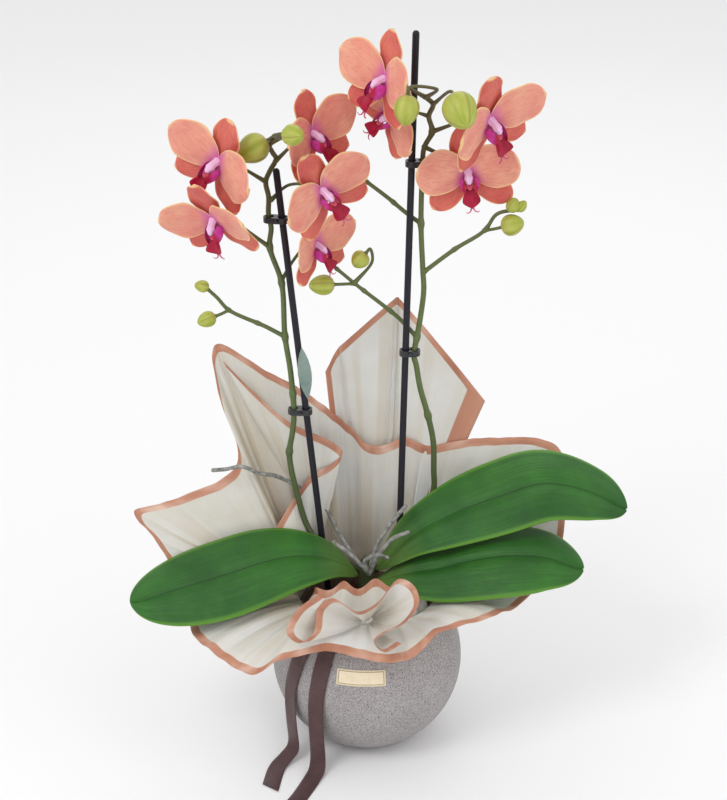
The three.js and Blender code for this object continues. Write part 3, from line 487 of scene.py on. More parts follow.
def roll_tube(bm, line, radii, sides=14, material=0):
    """A tube along line, in millimetres, with rounded ends."""
    radii = np.broadcast_to(np.array(radii, float), len(line))
    bow = np.radians([0, 35, 65])  # a rounded end is three more rings, from its tip outwards
    head, tail = unit(line[0] - line[1]), unit(line[-1] - line[-2])
    head_rings = line[0] + np.outer(np.cos(bow), head) * radii[0]
    tail_rings = line[-1] + np.outer(np.cos(bow), tail) * radii[-1]
    line = np.vstack([head_rings, line, tail_rings[::-1]])
    radii = np.concatenate([radii[0] * np.sin(bow), radii, (radii[-1] * np.sin(bow))[::-1]])
    along = np.gradient(line, axis=0)
    along /= np.linalg.norm(along, axis=1)[:, None]
    first = unit(np.cross(along[0], (0, 0, 1) if abs(along[0][2]) < 0.9 else (1, 0, 0)))
    sides_of = []
    for way in along:
        first = unit(first - way * first.dot(way))
        sides_of.append((first, np.cross(way, first)))
    rows = len(line) - 1
    length = travelled(line) * MM

    def around(s, t):
        row = round(t * rows)
        one, other = sides_of[row]
        turn = 2 * math.pi * (round(s * sides) % sides) / sides
        return Vector((line[row] + radii[row] * (math.cos(turn) * one + math.sin(turn) * other)) * MM)

    made = grid_patch(bm, sides, rows, around, lambda s, t: (s, length[round(t * rows)]), material)
    bmesh.ops.remove_doubles(bm, verts=made, dist=WELD)


def turned_outwards(bm):
    """The same bmesh, with every face of a closed shape facing outwards."""
    bmesh.ops.recalc_face_normals(bm, faces=bm.faces)
    return bm


# %% [markdown]
# ## Stakes
# Two dark plastic-coated rods hold the spikes up. They lean a little, and each has rounded ends. The coating has
# fine lengthwise lines and a dull shine.

# %% Stakes
BARK_TOP = bark_high.z / MM
coated_rod = Finish("coated_rod", Roughness=0.5, Specular_IOR_Level=0.3)
lines = coated_rod.noise(coated_rod.stretched(coated_rod.uv(), (40, 60, 1)), 1, 3)
coated_rod.paint(coated_rod.two_tone(lines, colour(22, 20, 28), colour(38, 36, 46)))
coated_rod.bump(lines, 0.0002)

STAKE_RADIUS = 2.8
STAKE_DEPTH = 50  # how far a stake goes down into the bark
STAKES = {
    "stake_left": (np.array([-33, 24, BARK_TOP]), np.array([-72.5, 24, 508])),
    "stake_right": (np.array([27, 28, BARK_TOP]), np.array([37.6, 28, 618])),
}
for name, (stake_foot, stake_top) in STAKES.items():
    way = unit(stake_top - stake_foot)
    bm = bmesh.new()
    rod_line = np.linspace(stake_foot - way * (STAKE_DEPTH - 2), stake_top - way * 1.5, 40)
    roll_tube(bm, rod_line, STAKE_RADIUS, 24)
    piece(turned_outwards(bm), name + "_rod", [coated_rod], [name])

# %% [markdown]
# ## Crown and leaves
# The crown is the short stem in the middle that everything grows from, wrapped in old leaf bases. A leaf is a
# thick blade with a groove along its midrib and edges that fall away to both sides. It is a grid along the midrib:
# across it runs from edge to edge, and its half width follows an outline that is narrow at the crown.
# The leaf shines softly, is paler at its edge, has painted shade in the groove of its midrib, and has faint
# veins along it.

# %% Leaf finish
leaf_green = Finish("leaf_green", Roughness=0.42, Specular_IOR_Level=0.35)
flat = leaf_green.uv()
off_middle = leaf_green.math("MULTIPLY", leaf_green.off_middle(flat, "X"), 2)
veins = leaf_green.noise(leaf_green.stretched(flat, (70, 2.5, 1)), 1, 3)
mottle = leaf_green.noise(leaf_green.place(), 22, 4)
green = leaf_green.two_tone(mottle, colour(28, 82, 22), colour(54, 118, 36))
green = leaf_green.blend(leaf_green.ramp(veins, (0.42, 0.35), (0.6, 0.0)), green, colour(26, 74, 24))
# Painted shade: a thin dark line along the groove of the midrib.
green = leaf_green.blend(leaf_green.ramp(off_middle, (0.0, 0.9), (0.035, 0.0)), green, colour(20, 56, 20))
green = leaf_green.blend(leaf_green.ramp(off_middle, (0.88, 0.0), (0.99, 0.85)), green, colour(104, 158, 50))
at_crown = leaf_green.ramp(leaf_green.axis(flat, "Y"), (0.0, 0.8), (0.22, 0.0))
leaf_green.paint(leaf_green.blend(at_crown, green, colour(118, 150, 70)))
leaf_green.bump(veins, 0.0006)

# %% Crown
stem_green = Finish("stem_green", Roughness=0.5)
where = stem_green.place()
streaks = stem_green.noise(stem_green.stretched(stem_green.uv(), (14, 160, 1)), 1, 3)
low_to_high = stem_green.math("MULTIPLY", stem_green.axis(where, "Z"), 1.6)  # 0 on the table, 1 at the plant's top
stem_colour = stem_green.ramp(
    low_to_high,
    (0.2, colour(54, 66, 36)),
    (0.5, colour(92, 112, 58)),
    (0.72, colour(98, 110, 58)),
    (0.92, colour(98, 92, 52)),
)
browned = stem_green.ramp(streaks, (0.35, 0.0), (0.7, 0.45))
stem_green.paint(stem_green.blend(browned, stem_colour, colour(62, 58, 40)))
stem_green.bump(streaks, 0.0003)

CROWN_RADIUS = 8
CROWN_RINGS = 5  # old leaf bases, one above the other
CROWN_ROWS = 40
crown_low, crown_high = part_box("crown_stem")
bm = bmesh.new()
crown_line = np.linspace((0, 0, crown_low.z / MM + 6), (0, 0, crown_high.z / MM - 5), CROWN_ROWS)
ridges = CROWN_RADIUS * (0.93 + 0.07 * np.abs(np.sin(np.linspace(0, CROWN_RINGS * math.pi, CROWN_ROWS))))
roll_tube(bm, crown_line, ridges * np.linspace(1, 0.82, CROWN_ROWS), 24)
piece(turned_outwards(bm), "crown", [stem_green], ["crown_stem"])


# %% Leaf blades
CROWN_GAP = 0.3


def beside_crown(bearing, height, half_thickness):
    return round_axis(CROWN_RADIUS + CROWN_GAP + half_thickness, bearing, height)


def outline(t, widest, fullness):
    """The half width, as a share of the greatest, at share t of the length from base to tip."""
    if t < widest:
        return math.sin(math.pi / 2 * t / widest) ** fullness
    return math.sqrt(max(0, 1 - ((t - widest) / (1 - widest)) ** 2))


def softened(share):
    """Shares that lie closer together at both ends, for a round outline."""
    return (1 - math.cos(math.pi * share)) / 2


LEAF_THICKNESS = 1.9
LEAF_FULLNESS = 0.7
MIDRIB_DEPTH = 3.2
MIDRIB_WIDTH = 0.16  # as a share of the half width
LEAF_WAVE = 0.9
LEAVES = {
    "leaf_left": dict(
        line=[beside_crown(188, 152, 0), (-28, -7, 171), (-56, -14, 179), (-84, -21, 178), (-122, -30, 169),
              (-158, -38, 161), (-198, -47, 151)],
        half_width=39, roll=28, arch=0.22, widest=0.62,
    ),
    "leaf_upper_right": dict(
        line=[beside_crown(15, 155, 0), (37, 5, 187), (67, 7, 205), (110, 11, 222), (152, 15, 233),
              (196, 17, 222), (222, 16, 206)],
        half_width=37, roll=30, arch=0.12, widest=0.6,
    ),
    "leaf_lower_right": dict(
        line=[beside_crown(-32, 147, 0), (34, -12, 161), (60, -18, 169), (90, -23, 180), (122, -28, 187),
              (152, -32, 187), (181, -36, 177)],
        half_width=38, roll=24, arch=0.25, widest=0.6,
    ),
}
LEAF_ROWS = 72


def blade_places(line, half_width, roll, arch, widest):
    midrib = evenly(line, 2 * LEAF_ROWS + 1)
    ways = np.gradient(midrib, axis=0)
    so_far = np.linspace(0, 1, len(midrib))
    tilt = math.radians(roll)

    def place(s, t):
        across, t = 2 * s - 1, softened(t)
        middle, way = along_line(t, so_far, midrib), unit(along_line(t, so_far, ways))
        flat = unit(np.cross((0, 0, 1), way))
        to_front = -flat if flat[1] > 0 else flat
        up = unit(np.array([0, 0, 1]) - way * way[2])
        side = to_front * math.cos(tilt) - up * math.sin(tilt)
        normal = up * math.cos(tilt) + to_front * math.sin(tilt)
        half = half_width * outline(t, widest, LEAF_FULLNESS)
        groove = MIDRIB_DEPTH * math.exp(-((across / MIDRIB_WIDTH) ** 2)) * min(1, half * 2 / half_width)
        wave = LEAF_WAVE * across**2 * math.sin(9 * t + 2 * across)
        lift = -arch * half * across * across - groove + wave * half / half_width
        return Vector((middle + side * half * across + normal * lift) * MM)

    return place


for name, leaf in LEAVES.items():
    bm = bmesh.new()
    made = grid_patch(bm, 28, LEAF_ROWS, blade_places(**leaf), lambda s, t: (s, softened(t)))
    bmesh.ops.remove_doubles(bm, verts=made, dist=WELD)
    if sum(face.normal.z * face.calc_area() for face in bm.faces) < 0:
        bmesh.ops.reverse_faces(bm, faces=bm.faces)
    thicken(piece(bm, name + "_blade", [leaf_green], [name]), LEAF_THICKNESS * MM)

# %% [markdown]
# ## Roots
# Silver-grey air roots grow out of the crown. They are tubes of uneven girth, with a chalky skin.

# %% Roots
root_silver = Finish("silver_root", Roughness=0.9, Specular_IOR_Level=0.2)
where = root_silver.place()
chalk = root_silver.noise(where, 260, 4)
skin = root_silver.ramp(
    chalk, (0.3, colour(104, 104, 98)), (0.55, colour(150, 149, 145)), (0.75, colour(182, 181, 178))
)
root_silver.paint(skin)
root_silver.bump(chalk, 0.0008)

ROOT_RADIUS = 2
LONG_ROOT = [beside_crown(92, 142, ROOT_RADIUS), (-14, 19, 163), (-25, 31, 176), (-33, 34, 192), (-52, 35, 213),
             (-66, 36, 222), (-80, 30, 232), (-92, 22, 238), (-106, 17, 247), (-120, 18, 244), (-131, 20, 242)]
ROOT_START = beside_crown(-80, 158, ROOT_RADIUS * 0.85)
CROWN_ROOTS = [
    [ROOT_START, (-4, -14, 168), (-14, -10, 177), (-28, -5, 186)],
    [ROOT_START, (10, -9, 176), (22, -6, 190), (35, -2, 194)],
    [ROOT_START, (8, -2, 180), (20, 6, 198), (33, 10, 213)],
    [ROOT_START, (-2, -14, 172), (8, -20, 182), (17, -14, 176)],
]


UNEVENNESS = 0.14  # of a root's girth
LUMPS = 0.12  # per millimetre


def root_into(bm, points, count):
    line = evenly(points, count)
    uneven = [1 + UNEVENNESS * noise.noise(Vector(point) * LUMPS) for point in line]
    roll_tube(bm, line, ROOT_RADIUS * np.array(uneven) * np.linspace(1, 0.85, count), 14)


bm = bmesh.new()
root_into(bm, LONG_ROOT, 90)
piece(turned_outwards(bm), "long_air_root", [root_silver], ["aerial_root_long"])
bm = bmesh.new()
for root in CROWN_ROOTS:
    root_into(bm, root, 36)
piece(turned_outwards(bm), "crown_roots", [root_silver], ["aerial_roots_crown"])

# %% [markdown]
# ## Flowers: where they stand
# A flower has its own frame: x across, y up and z towards the one who looks at it. at is the middle of its face,
# yaw turns it sideways, pitch lifts it, roll turns it clockwise, and root is where its stalk leaves the spike.
# A bud has its middle, its half width, its length and the direction of its tip. Where a stalk has a via, it bends
# past that place.

# %% Flower and bud tables
FLOWERS = {
    "flower_left_1": dict(at=(-117, 3, 521), yaw=-36, pitch=-4, roll=27, size=1.05, root=(-81, 27, 497)),
    "flower_left_2": dict(at=(-121, 0, 474), yaw=-26, pitch=-28, roll=-8, size=1, root=(-79, 28, 441)),
    "flower_left_3": dict(at=(-43, 20, 538), yaw=46, pitch=4, roll=-16, size=0.96, root=(-73, 27, 514)),
    "flower_left_4": dict(at=(-35, -2, 499), yaw=34, pitch=-8, roll=-32, size=1, root=(-77, 26, 482),
                          via=(-64, 32, 492)),
    "flower_left_5": dict(at=(-41, 18, 446), yaw=50, pitch=0, roll=-10, size=0.86, root=(-71, 28, 410),
                          via=(-60, 33, 428)),
    "flower_right_1": dict(at=(13, -3, 588), yaw=-50, pitch=8, roll=9, size=1, root=(45.5, 10, 571)),
    "flower_right_2": dict(at=(19, 20, 555), yaw=-48, pitch=-10, roll=46, size=0.9, root=(48, 17, 554),
                           via=(37, 18, 557)),
    "flower_right_3": dict(at=(94, -6, 557), yaw=42, pitch=-16, roll=-18, size=1.08, root=(51, 22, 540)),
    "flower_right_4": dict(at=(80, 20, 507), yaw=0, pitch=-6, roll=-8, size=1, root=(45, 27, 526)),
}
BUDS = {
    "bud_left_top": dict(at=(-90, 8, 530), radius=11.5, length=27, tip=(-0.8, -0.3, -0.4), root=(-77, 18, 530)),
    "bud_left_front": dict(at=(-56, -33, 554), radius=8.3, length=19, tip=(0.6, -0.75, 0.15), root=(-68, 12, 538),
                           via=(-72, -14, 548)),
    "bud_left_branch": dict(at=(-131, 12, 384), radius=6.5, length=16, tip=(-0.9, -0.2, -0.3), root=(-113, 18, 390)),
    "bud_right_top": dict(at=(69.5, -48, 577), radius=13, length=31, tip=(0.3, -0.8, -0.5), root=(51, 12, 565)),
    "bud_right_top_small": dict(at=(29, -52, 579), radius=9.5, length=23, tip=(-0.1, -0.2, -1), root=(45.4, 10, 571),
                                via=(52, -26, 588)),
    "bud_lower_branch": dict(at=(-37, 18, 412), radius=8.3, length=21, tip=(-0.95, -0.1, 0), root=(-10, 26, 410)),
    "bud_lower_curl": dict(at=(-6, 20, 433), radius=7.4, length=15, tip=(-0.6, 0, -0.7), root=(-10, 26, 411),
                           via=(4, 24, 430)),
    "bud_right_branch": dict(at=(116, 12, 466), radius=8.6, length=19, tip=(0.9, -0.2, 0.3), root=(94, 20, 458)),
}
TIP_BUDS = {
    "spike_left": [dict(at=(-134, 13, 413), radius=5, length=12, tip=(-0.9, -0.1, 0.2))],
    "spike_right": [
        dict(at=(116, 14, 482), radius=5.5, length=13, tip=(0.3, -0.3, 0.9)),
        dict(at=(123, 14, 481), radius=4, length=11, tip=(0.5, -0.2, 0.8)),
    ],
}


def flower_frame(flower):
    turn = Matrix.Rotation(math.radians(flower["yaw"]), 4, "Z")
    lean = Matrix.Rotation(math.radians(90 - flower["pitch"]), 4, "X")
    roll = Matrix.Rotation(-math.radians(flower["roll"]), 4, "Z")
    return Matrix.Translation(Vector(flower["at"])) @ turn @ lean @ roll @ Matrix.Scale(flower["size"], 4)


# %% [markdown]
# ## Petals and sepals
# Each floret is a grid from its narrow base to its round tip, cupped towards the front. Its edge ripples a little,
# by a different amount on each flower. A petal is thin but not a sheet of paper: the Solidify modifier gives it a
# front, a redder back and a cream rim, each with its own finish.


# %% Petal finishes
def petal_finish(name, light, deep, at_base, edge, vein_colour, speckles=False):
    made = Finish(name, Roughness=0.55, Specular_IOR_Level=0.35, Subsurface_Weight=0.12, Subsurface_Scale=0.004)
    flat = made.uv()
    up = made.axis(flat, "Y")
    off_middle = made.math("MULTIPLY", made.off_middle(flat, "X"), 2)
    blush = made.noise(made.place(), 45, 3)
    body = made.ramp(blush, (0.32, light), (0.68, deep))
    veins = made.noise(made.stretched(flat, (46, 4.5, 1)), 1, 4, 0.6)
    body = made.blend(made.ramp(veins, (0.5, 0.0), (0.62, 0.55)), body, vein_colour)
    if speckles:
        dots = made.ramp(made.spots(made.stretched(flat, (30, 62, 1)), 1), (0.2, 0.85), (0.34, 0.0))
        where_dots = made.ramp(up, (0.1, 1.0), (0.62, 0.0))
        body = made.blend(made.math("MULTIPLY", dots, where_dots), body, colour(176, 30, 60))
    body = made.blend(made.ramp(up, (0.05, 0.95), (0.27, 0.0)), body, at_base)
    side_rim, tip_rim = made.ramp(off_middle, (0.9, 0.0), (0.985, 0.8)), made.ramp(up, (0.95, 0.0), (0.99, 0.8))
    rim = made.math("MAXIMUM", side_rim, tip_rim)
    made.paint(made.blend(rim, body, edge))
    made.bump(veins, 0.0004, 0.6)
    return made


cream_edge = colour(247, 208, 152)
petal_front = petal_finish(
    "petal_front", light=colour(238, 174, 146), deep=colour(228, 144, 128), at_base=colour(206, 84, 168),
    edge=cream_edge, vein_colour=colour(214, 112, 106),
)
sepal_front = petal_finish(
    "sepal_front", light=colour(222, 122, 102), deep=colour(202, 92, 86), at_base=colour(196, 66, 130),
    edge=cream_edge, vein_colour=colour(182, 62, 68), speckles=True,
)
petal_back = petal_finish(
    "petal_back", light=colour(214, 122, 106), deep=colour(198, 96, 90), at_base=colour(180, 112, 84),
    edge=colour(236, 184, 136), vein_colour=colour(176, 70, 72),
)
petal_rim = Finish("petal_rim", Roughness=0.6)
rim_blush = petal_rim.noise(petal_rim.place(), 200)
petal_rim.paint(petal_rim.two_tone(rim_blush, cream_edge, colour(240, 190, 132)))

# %% Shape of a floret
CUP = 0.0022  # how fast a floret bends forward away from the middle, per millimetre
SEPALS = dict(angles=(0, 130, -130), length=41, half_width=12.5, level=-1.6, fold=0.05, fullness=0.5)
PETALS = dict(angles=(74, -74), length=42, half_width=20, level=0.4, fold=0.28, fullness=0.6)
WIDEST = 0.55
PETAL_THICKNESS = 0.7
PETAL_WELD = 5e-6
RIPPLE = 1.1
CREASE, CREASE_WIDTH = 0.5, 0.12
BACK_ROLL = 1.6


def floret_place(frame_of, angle, length, half_width, level, fold, fullness, ripple):
    turn = math.radians(angle)

    def place(s, t):
        across, t = 2 * softened(s) - 1, softened(t)
        half = half_width * outline(t, WIDEST, fullness)
        x, y = half * across, length * t
        edge = across**2 * min(1, t * 2)
        crease = CREASE * math.exp(-((across / CREASE_WIDTH) ** 2)) * (1 - t)
        wavy = RIPPLE * edge * math.sin(11 * t + ripple + 2 * across) + crease
        lift = level + fold * y + CUP * (x * x + y * y) + wavy - BACK_ROLL * edge * t
        point = (x * math.cos(turn) + y * math.sin(turn), y * math.cos(turn) - x * math.sin(turn), lift)
        return frame_of @ Vector(point) * MM

    return place


def florets(name, frame_of, angles, level, shades, **shape):
    bm = bmesh.new()
    for angle in angles:
        place = floret_place(frame_of, angle, level=level, ripple=chance.uniform(0, ANY_TURN), **shape)
        made = grid_patch(bm, 22, 28, place, lambda s, t: (softened(s), softened(t)))
        bmesh.ops.remove_doubles(bm, verts=made, dist=PETAL_WELD)
    made = piece(bm, name + "_florets", shades, [name])
    return thicken(made, PETAL_THICKNESS * MM, back_material=1, rim_material=2)


for name, flower in FLOWERS.items():
    florets(name + "_sepals", flower_frame(flower), shades=[sepal_front, petal_back, petal_rim], **SEPALS)
    florets(name + "_petals", flower_frame(flower), shades=[petal_front, petal_back, petal_rim], **PETALS)

# %% [markdown]
# ## The lip
# In the middle of an orchid sit a pale column and a crimson lip. The lip has two lilac side lobes that stand up
# like ears, a small callus between them, and a spoon-shaped middle lobe whose tip ends in two thin whiskers.
# The lobes are grids bent over a disc and given a wall. The other parts are short tubes.


# %% Lip finishes
def lip_finish(name, light, deep, at_tip=None):
    made = Finish(name, Roughness=0.45, Specular_IOR_Level=0.35)
    flat = made.uv()
    streaks = made.noise(made.stretched(flat, (9, 2, 1)), 1.5, 4)
    body = made.ramp(streaks, (0.35, light), (0.65, deep))
    if at_tip:
        body = made.blend(made.ramp(made.axis(flat, "Y"), (0.6, 0.0), (0.82, 1.0)), body, at_tip)
    made.paint(body)
    made.bump(streaks, 0.0003)
    return made


lip_crimson = lip_finish("lip_crimson", colour(188, 16, 62), colour(150, 6, 44))
lip_lilac = lip_finish("lip_lilac", colour(216, 84, 186), colour(196, 48, 152), colour(176, 14, 66))
column_pale = lip_finish("column_pale", colour(246, 222, 240), colour(226, 154, 214))
callus_pink = lip_finish("callus_pink", colour(226, 110, 120), colour(196, 40, 84))
whisker_lilac = lip_finish("whisker_lilac", colour(214, 120, 150), colour(190, 60, 100))
LIP_SHADES = [lip_crimson, lip_lilac, column_pale, callus_pink, whisker_lilac]
CRIMSON, LILAC, PALE, PINK, WHISKER = range(5)

# %% Lobes and column
LIP_LEVEL = 1.7
LOBE_WALL = 0.6
SPOON_WALL = 0.8
SPOON_WIDEST = 0.55


def on_disc(s, t):
    """A square's place (s, t) moved to a disc of radius 1, so that a lobe gets a round outline."""
    a, b = 2 * s - 1, 2 * t - 1
    return a * math.sqrt(1 - b * b / 2), b * math.sqrt(1 - a * a / 2)


def walled(bm, columns, rows, place, thickness, material):
    made = grid_patch(bm, columns, rows, place, lambda s, t: (s, t), material)
    faces = list({face for vertex in made for face in vertex.link_faces})
    before = set(bm.faces)
    bmesh.ops.solidify(bm, geom=faces, thickness=thickness)
    for face in set(bm.faces) - before:
        face.material_index = material


def side_lobe(side):
    def place(s, t):
        a, b = on_disc(s, t)
        bulge = 1 - 0.6 * (a * a + b * b)
        return Vector((side * (3.0 + 4.4 * bulge - 1.2 * b), -7.5 + 6.2 * a - 1.4 * b, LIP_LEVEL + 7 + 6.6 * b))

    return place


def spoon(s, t):
    across, t = 2 * s - 1, softened(t)
    if t < SPOON_WIDEST:
        swell = math.sin(math.pi / 2 * t / SPOON_WIDEST) ** 2
    else:
        swell = 1 - ((t - SPOON_WIDEST) / (1 - SPOON_WIDEST)) ** 1.5
    x = (1.8 * (1 - t) + 6.4 * max(0, swell)) * across
    return Vector((x, -7 - 19 * t, LIP_LEVEL + 6 + 9 * t + 0.09 * x * x - 14 * max(0, t - 0.5) ** 2))


def lip_into(bm):
    column = smooth([(0, 1.4, LIP_LEVEL - 0.6), (0, -0.4, LIP_LEVEL + 4.4), (0, -3.6, LIP_LEVEL + 8)], 16)
    roll_tube(bm, column, np.interp(np.linspace(0, 1, 16), [0, 0.4, 0.8, 1], [3.4, 2.9, 3.7, 2.8]), 20, PALE)
    claw = smooth([(0, -1, LIP_LEVEL + 2), (0, -5, LIP_LEVEL + 4.5), (0, -9, LIP_LEVEL + 7)], 12)
    roll_tube(bm, claw, 2.2, 14, LILAC)
    callus = smooth([(-2, -7, LIP_LEVEL + 8), (0, -9, LIP_LEVEL + 9.4), (2, -7, LIP_LEVEL + 8)], 10)
    roll_tube(bm, callus, 1.6, 12, PINK)
    for side in (-1, 1):
        whisker = smooth([(side * 0.8, -25, LIP_LEVEL + 12), (side * 1.9, -27.4, LIP_LEVEL + 12.6),
                          (side * 4, -28.4, LIP_LEVEL + 13), (side * 5.4, -27, LIP_LEVEL + 13.8)], 18)
        roll_tube(bm, whisker, np.linspace(0.7, 0.25, 18), 8, WHISKER)


for name, flower in FLOWERS.items():
    bm = bmesh.new()
    lip_into(bm)
    bmesh.ops.transform(bm, matrix=Matrix.Scale(1 / MM, 4), verts=bm.verts)
    turned_outwards(bm)
    for side in (1, -1):
        walled(bm, 16, 16, side_lobe(side), LOBE_WALL, LILAC)
    walled(bm, 16, 24, spoon, SPOON_WALL, CRIMSON)
    bmesh.ops.remove_doubles(bm, verts=bm.verts, dist=0.002)  # in millimetres here, until the next line
    bmesh.ops.transform(bm, matrix=Matrix.Scale(MM, 4) @ flower_frame(flower), verts=bm.verts)
    piece(turned_outwards(bm), name + "_lip_lobes", LIP_SHADES, [name + "_lip"])

# %% [markdown]
# ## Buds
# A bud is an egg in which three sepals still meet edge to edge. A ball is stretched to that egg and pinched along
# three seams from base to tip, and its finish runs lengthwise, from yellow-green to a darker seam.

# %% Bud finish
bud_green = Finish("bud_green", Roughness=0.45, Subsurface_Weight=0.1, Subsurface_Scale=0.003)
flat = bud_green.uv()
streaks = bud_green.noise(bud_green.stretched(flat, (9, 1.6, 1)), 1, 3)
skin = bud_green.ramp(streaks, (0.3, colour(146, 162, 40)), (0.75, colour(192, 192, 96)))
three = bud_green.math("SINE", bud_green.math("MULTIPLY", bud_green.axis(flat, "X"), 3 * math.pi))
seam = bud_green.ramp(bud_green.math("ABSOLUTE", three), (0.0, 0.7), (0.2, 0.0))
skin = bud_green.blend(seam, skin, colour(140, 124, 66))
at_base = bud_green.ramp(bud_green.axis(flat, "Y"), (0.02, 0.5), (0.35, 0.0))
bud_green.paint(bud_green.blend(at_base, skin, colour(186, 150, 84)))
bud_green.bump(streaks, 0.0001)

SEAM_DEPTH = 0.1
SEAM_WIDTH = 0.16  # radians
TIP_PINCH = 0.05
TAPER = 0.18


def bud_into(bm, bud, material=0):
    ball = bmesh.ops.create_uvsphere(bm, u_segments=48, v_segments=26, radius=1, calc_uvs=True)
    spin_about = Matrix.Rotation(chance.uniform(0, ANY_TURN), 4, "Z")
    to_tip = Vector((0, 0, 1)).rotation_difference(Vector(bud["tip"])).to_matrix().to_4x4()
    for vertex in ball["verts"]:
        x, y, z = vertex.co
        turn = math.atan2(y, x)
        seam_near = min(abs((turn - k * math.pi / 3 + math.pi) % (2 * math.pi) - math.pi) for k in (0, 2, 4))
        seam = SEAM_DEPTH * math.exp(-((seam_near / SEAM_WIDTH) ** 2)) * (1 - z * z)
        reach = bud["radius"] * (1 - TAPER * z) * (1 - seam - TIP_PINCH * max(0, z) ** 2)
        vertex.co = (x * reach, y * reach, z * bud["length"] / 2)
    to_place = Matrix.Scale(MM, 4) @ Matrix.Translation(bud["at"]) @ to_tip @ spin_about
    bmesh.ops.transform(bm, matrix=to_place, verts=ball["verts"])
    for face in {face for vertex in ball["verts"] for face in vertex.link_faces}:
        face.material_index = material


for name, bud in BUDS.items():
    bm = bmesh.new()
    bm.loops.layers.uv.verify()
    bud_into(bm, bud)
    piece(bm, name + "_closed", [bud_green], [name])

# %% [markdown]
# ## Spikes
# A spike is the long flower stem. It swells at its nodes, where a branch or stalk leaves it, and gets thinner
# towards its tip. Branches and flower stalks are tubes that start inside it. The youngest buds sit on its ends.

# %% Spike lines
SPIKE_RADIUS = 2.7
BRANCH_RADIUS = 1.8
BEHIND_STAKE = 28 + STAKE_RADIUS + BRANCH_RADIUS + 2.6
NODE_SWELL, NODE_LENGTH = 0.9, 3.4
KNEE_SWELL = 0.5
FACE_TO_STALK = 1.8  # from the middle of a flower's face back to the end of its stalk
STALK_SHARES, STALK_RADII = [0, 0.08, 0.2, 0.9, 1], [2.2, 1.7, 1.3, 1.3, 1.9]
SPIKE_ROWS, BRANCH_ROWS, STALK_ROWS = 260, 70, 30
SPIKES = {
    "spike_left": dict(
        main=[beside_crown(128, 150, SPIKE_RADIUS), (-22, 12, 160), (-40, 16, 171), (-52, 22, 188), (-60, 25, 217),
              (-65, 26, 242), (-66, 26, 257), (-63, 25, 276), (-61.5, 24.5, 294), (-64, 27, 332), (-68, 28, 362),
              (-70, 28, 410), (-79, 28, 441), (-77.5, 27, 458), (-79.3, 25, 471), (-79, 27, 484), (-81, 27, 497),
              (-77.5, 31.5, 505), (-72.5, 29, 515), (-75, 22, 523), (-77, 18, 530), (-68.5, 12, 538)],
        branches=[[(-68, 28, 362), (-84, 24, 373), (-113, 18, 390), (-122, 15, 402), (-130, 13, 411)]],
        nodes=[(-66, 26, 257), (-63, 26, 311), (-68, 28, 362), (-70.5, 28, 410), (-79, 28, 441)],
        carries=["flower_left", "bud_left"],
    ),
    "spike_right": dict(
        main=[beside_crown(52, 150, SPIKE_RADIUS), (22, 14, 165), (40, 24, 182), (54, 36, 202), (58, 40, 216),
              (57.5, 38, 232), (56.5, 35, 262), (51.5, 32, 288), (44.5, 30, 315), (41, 28.5, 336), (39, 28.2, 345),
              (41.5, 30, 362), (44, 31, 378), (46.5, 32, 402), (45.5, 32, 420), (43.5, 31, 460), (44, 29, 506),
              (45, 27, 525), (51, 22, 540), (48, 17, 554), (51, 12, 565), (45.4, 10, 571)],
        branches=[
            [(41, 30, 361), (27, BEHIND_STAKE, 375), (-10, 26, 410), (-25, 24, 424)],
            [(43.5, 31, 460), (30.5, 37, 468), (17.5, 38, 479), (-7, 36, 499), (-22, 32, 512)],
            [(46.5, 32, 418), (71, 26, 440), (94, 20, 458), (104, 18, 473), (121, 15.5, 477.5)],
        ],
        nodes=[(51.5, 32, 288), (41.3, 30, 361), (43.5, 31, 460), (51, 22, 540)],
        carries=["flower_right", "bud_right", "bud_lower"],
    ),
}


def stalk_into(bm, root, via, end, way, reach):
    """A thin stalk from root, by way of via if there is one, that arrives at end straight over its last reach."""
    before = end - way * reach
    points = [root, via, before, end] if via else [root, before, end]
    radii = np.interp(np.linspace(0, 1, STALK_ROWS), STALK_SHARES, STALK_RADII)
    roll_tube(bm, smooth(points, STALK_ROWS), radii, 12)


# %% Spikes, branches and stalks
for name, spike in SPIKES.items():
    bm = bmesh.new()
    bm.loops.layers.uv.verify()
    main = evenly(spike["main"], SPIKE_ROWS)
    swell = np.zeros(SPIKE_ROWS)
    for node in spike["nodes"]:
        swell += np.exp(-((np.linalg.norm(main - np.array(node), axis=1) / NODE_LENGTH) ** 2))
    roll_tube(bm, main, SPIKE_RADIUS * np.linspace(1, 0.74, SPIKE_ROWS) + NODE_SWELL * np.minimum(1, swell), 16)
    for branch in spike["branches"]:
        knees = KNEE_SWELL * np.maximum(0, np.cos(np.linspace(0, 6 * math.pi, BRANCH_ROWS))) ** 8
        girth = BRANCH_RADIUS * np.linspace(1.05, 0.8, BRANCH_ROWS) + knees
        roll_tube(bm, evenly(branch, BRANCH_ROWS), girth, 14)
    for carried, flower in FLOWERS.items():
        if carried.startswith(tuple(spike["carries"])):
            frame_of = flower_frame(flower)
            way = np.array(frame_of.to_3x3() @ Vector((0, 0, 1))) / flower["size"]
            end = np.array(frame_of @ Vector((0, 0, -FACE_TO_STALK)))
            stalk_into(bm, flower["root"], flower.get("via"), end, way, 6)
    for carried, bud in BUDS.items():
        if carried.startswith(tuple(spike["carries"])):
            way = unit(np.array(bud["tip"], float))
            end = np.array(bud["at"]) - way * (bud["length"] / 2)
            stalk_into(bm, bud["root"], bud.get("via"), end, way, 5)
    turned_outwards(bm)
    for bud in TIP_BUDS[name]:
        bud_into(bm, bud, 1)
    piece(bm, name + "_stem", [stem_green, bud_green], [name])

# %% [markdown]
# ## Clips and tag
# Four small black clips tie the spikes to the stakes. Their plain solids have the right shape but hard edges, so a
# merged copy gets a Bevel modifier, and a little knob where the clip snaps shut. The tag is a thin blank card.

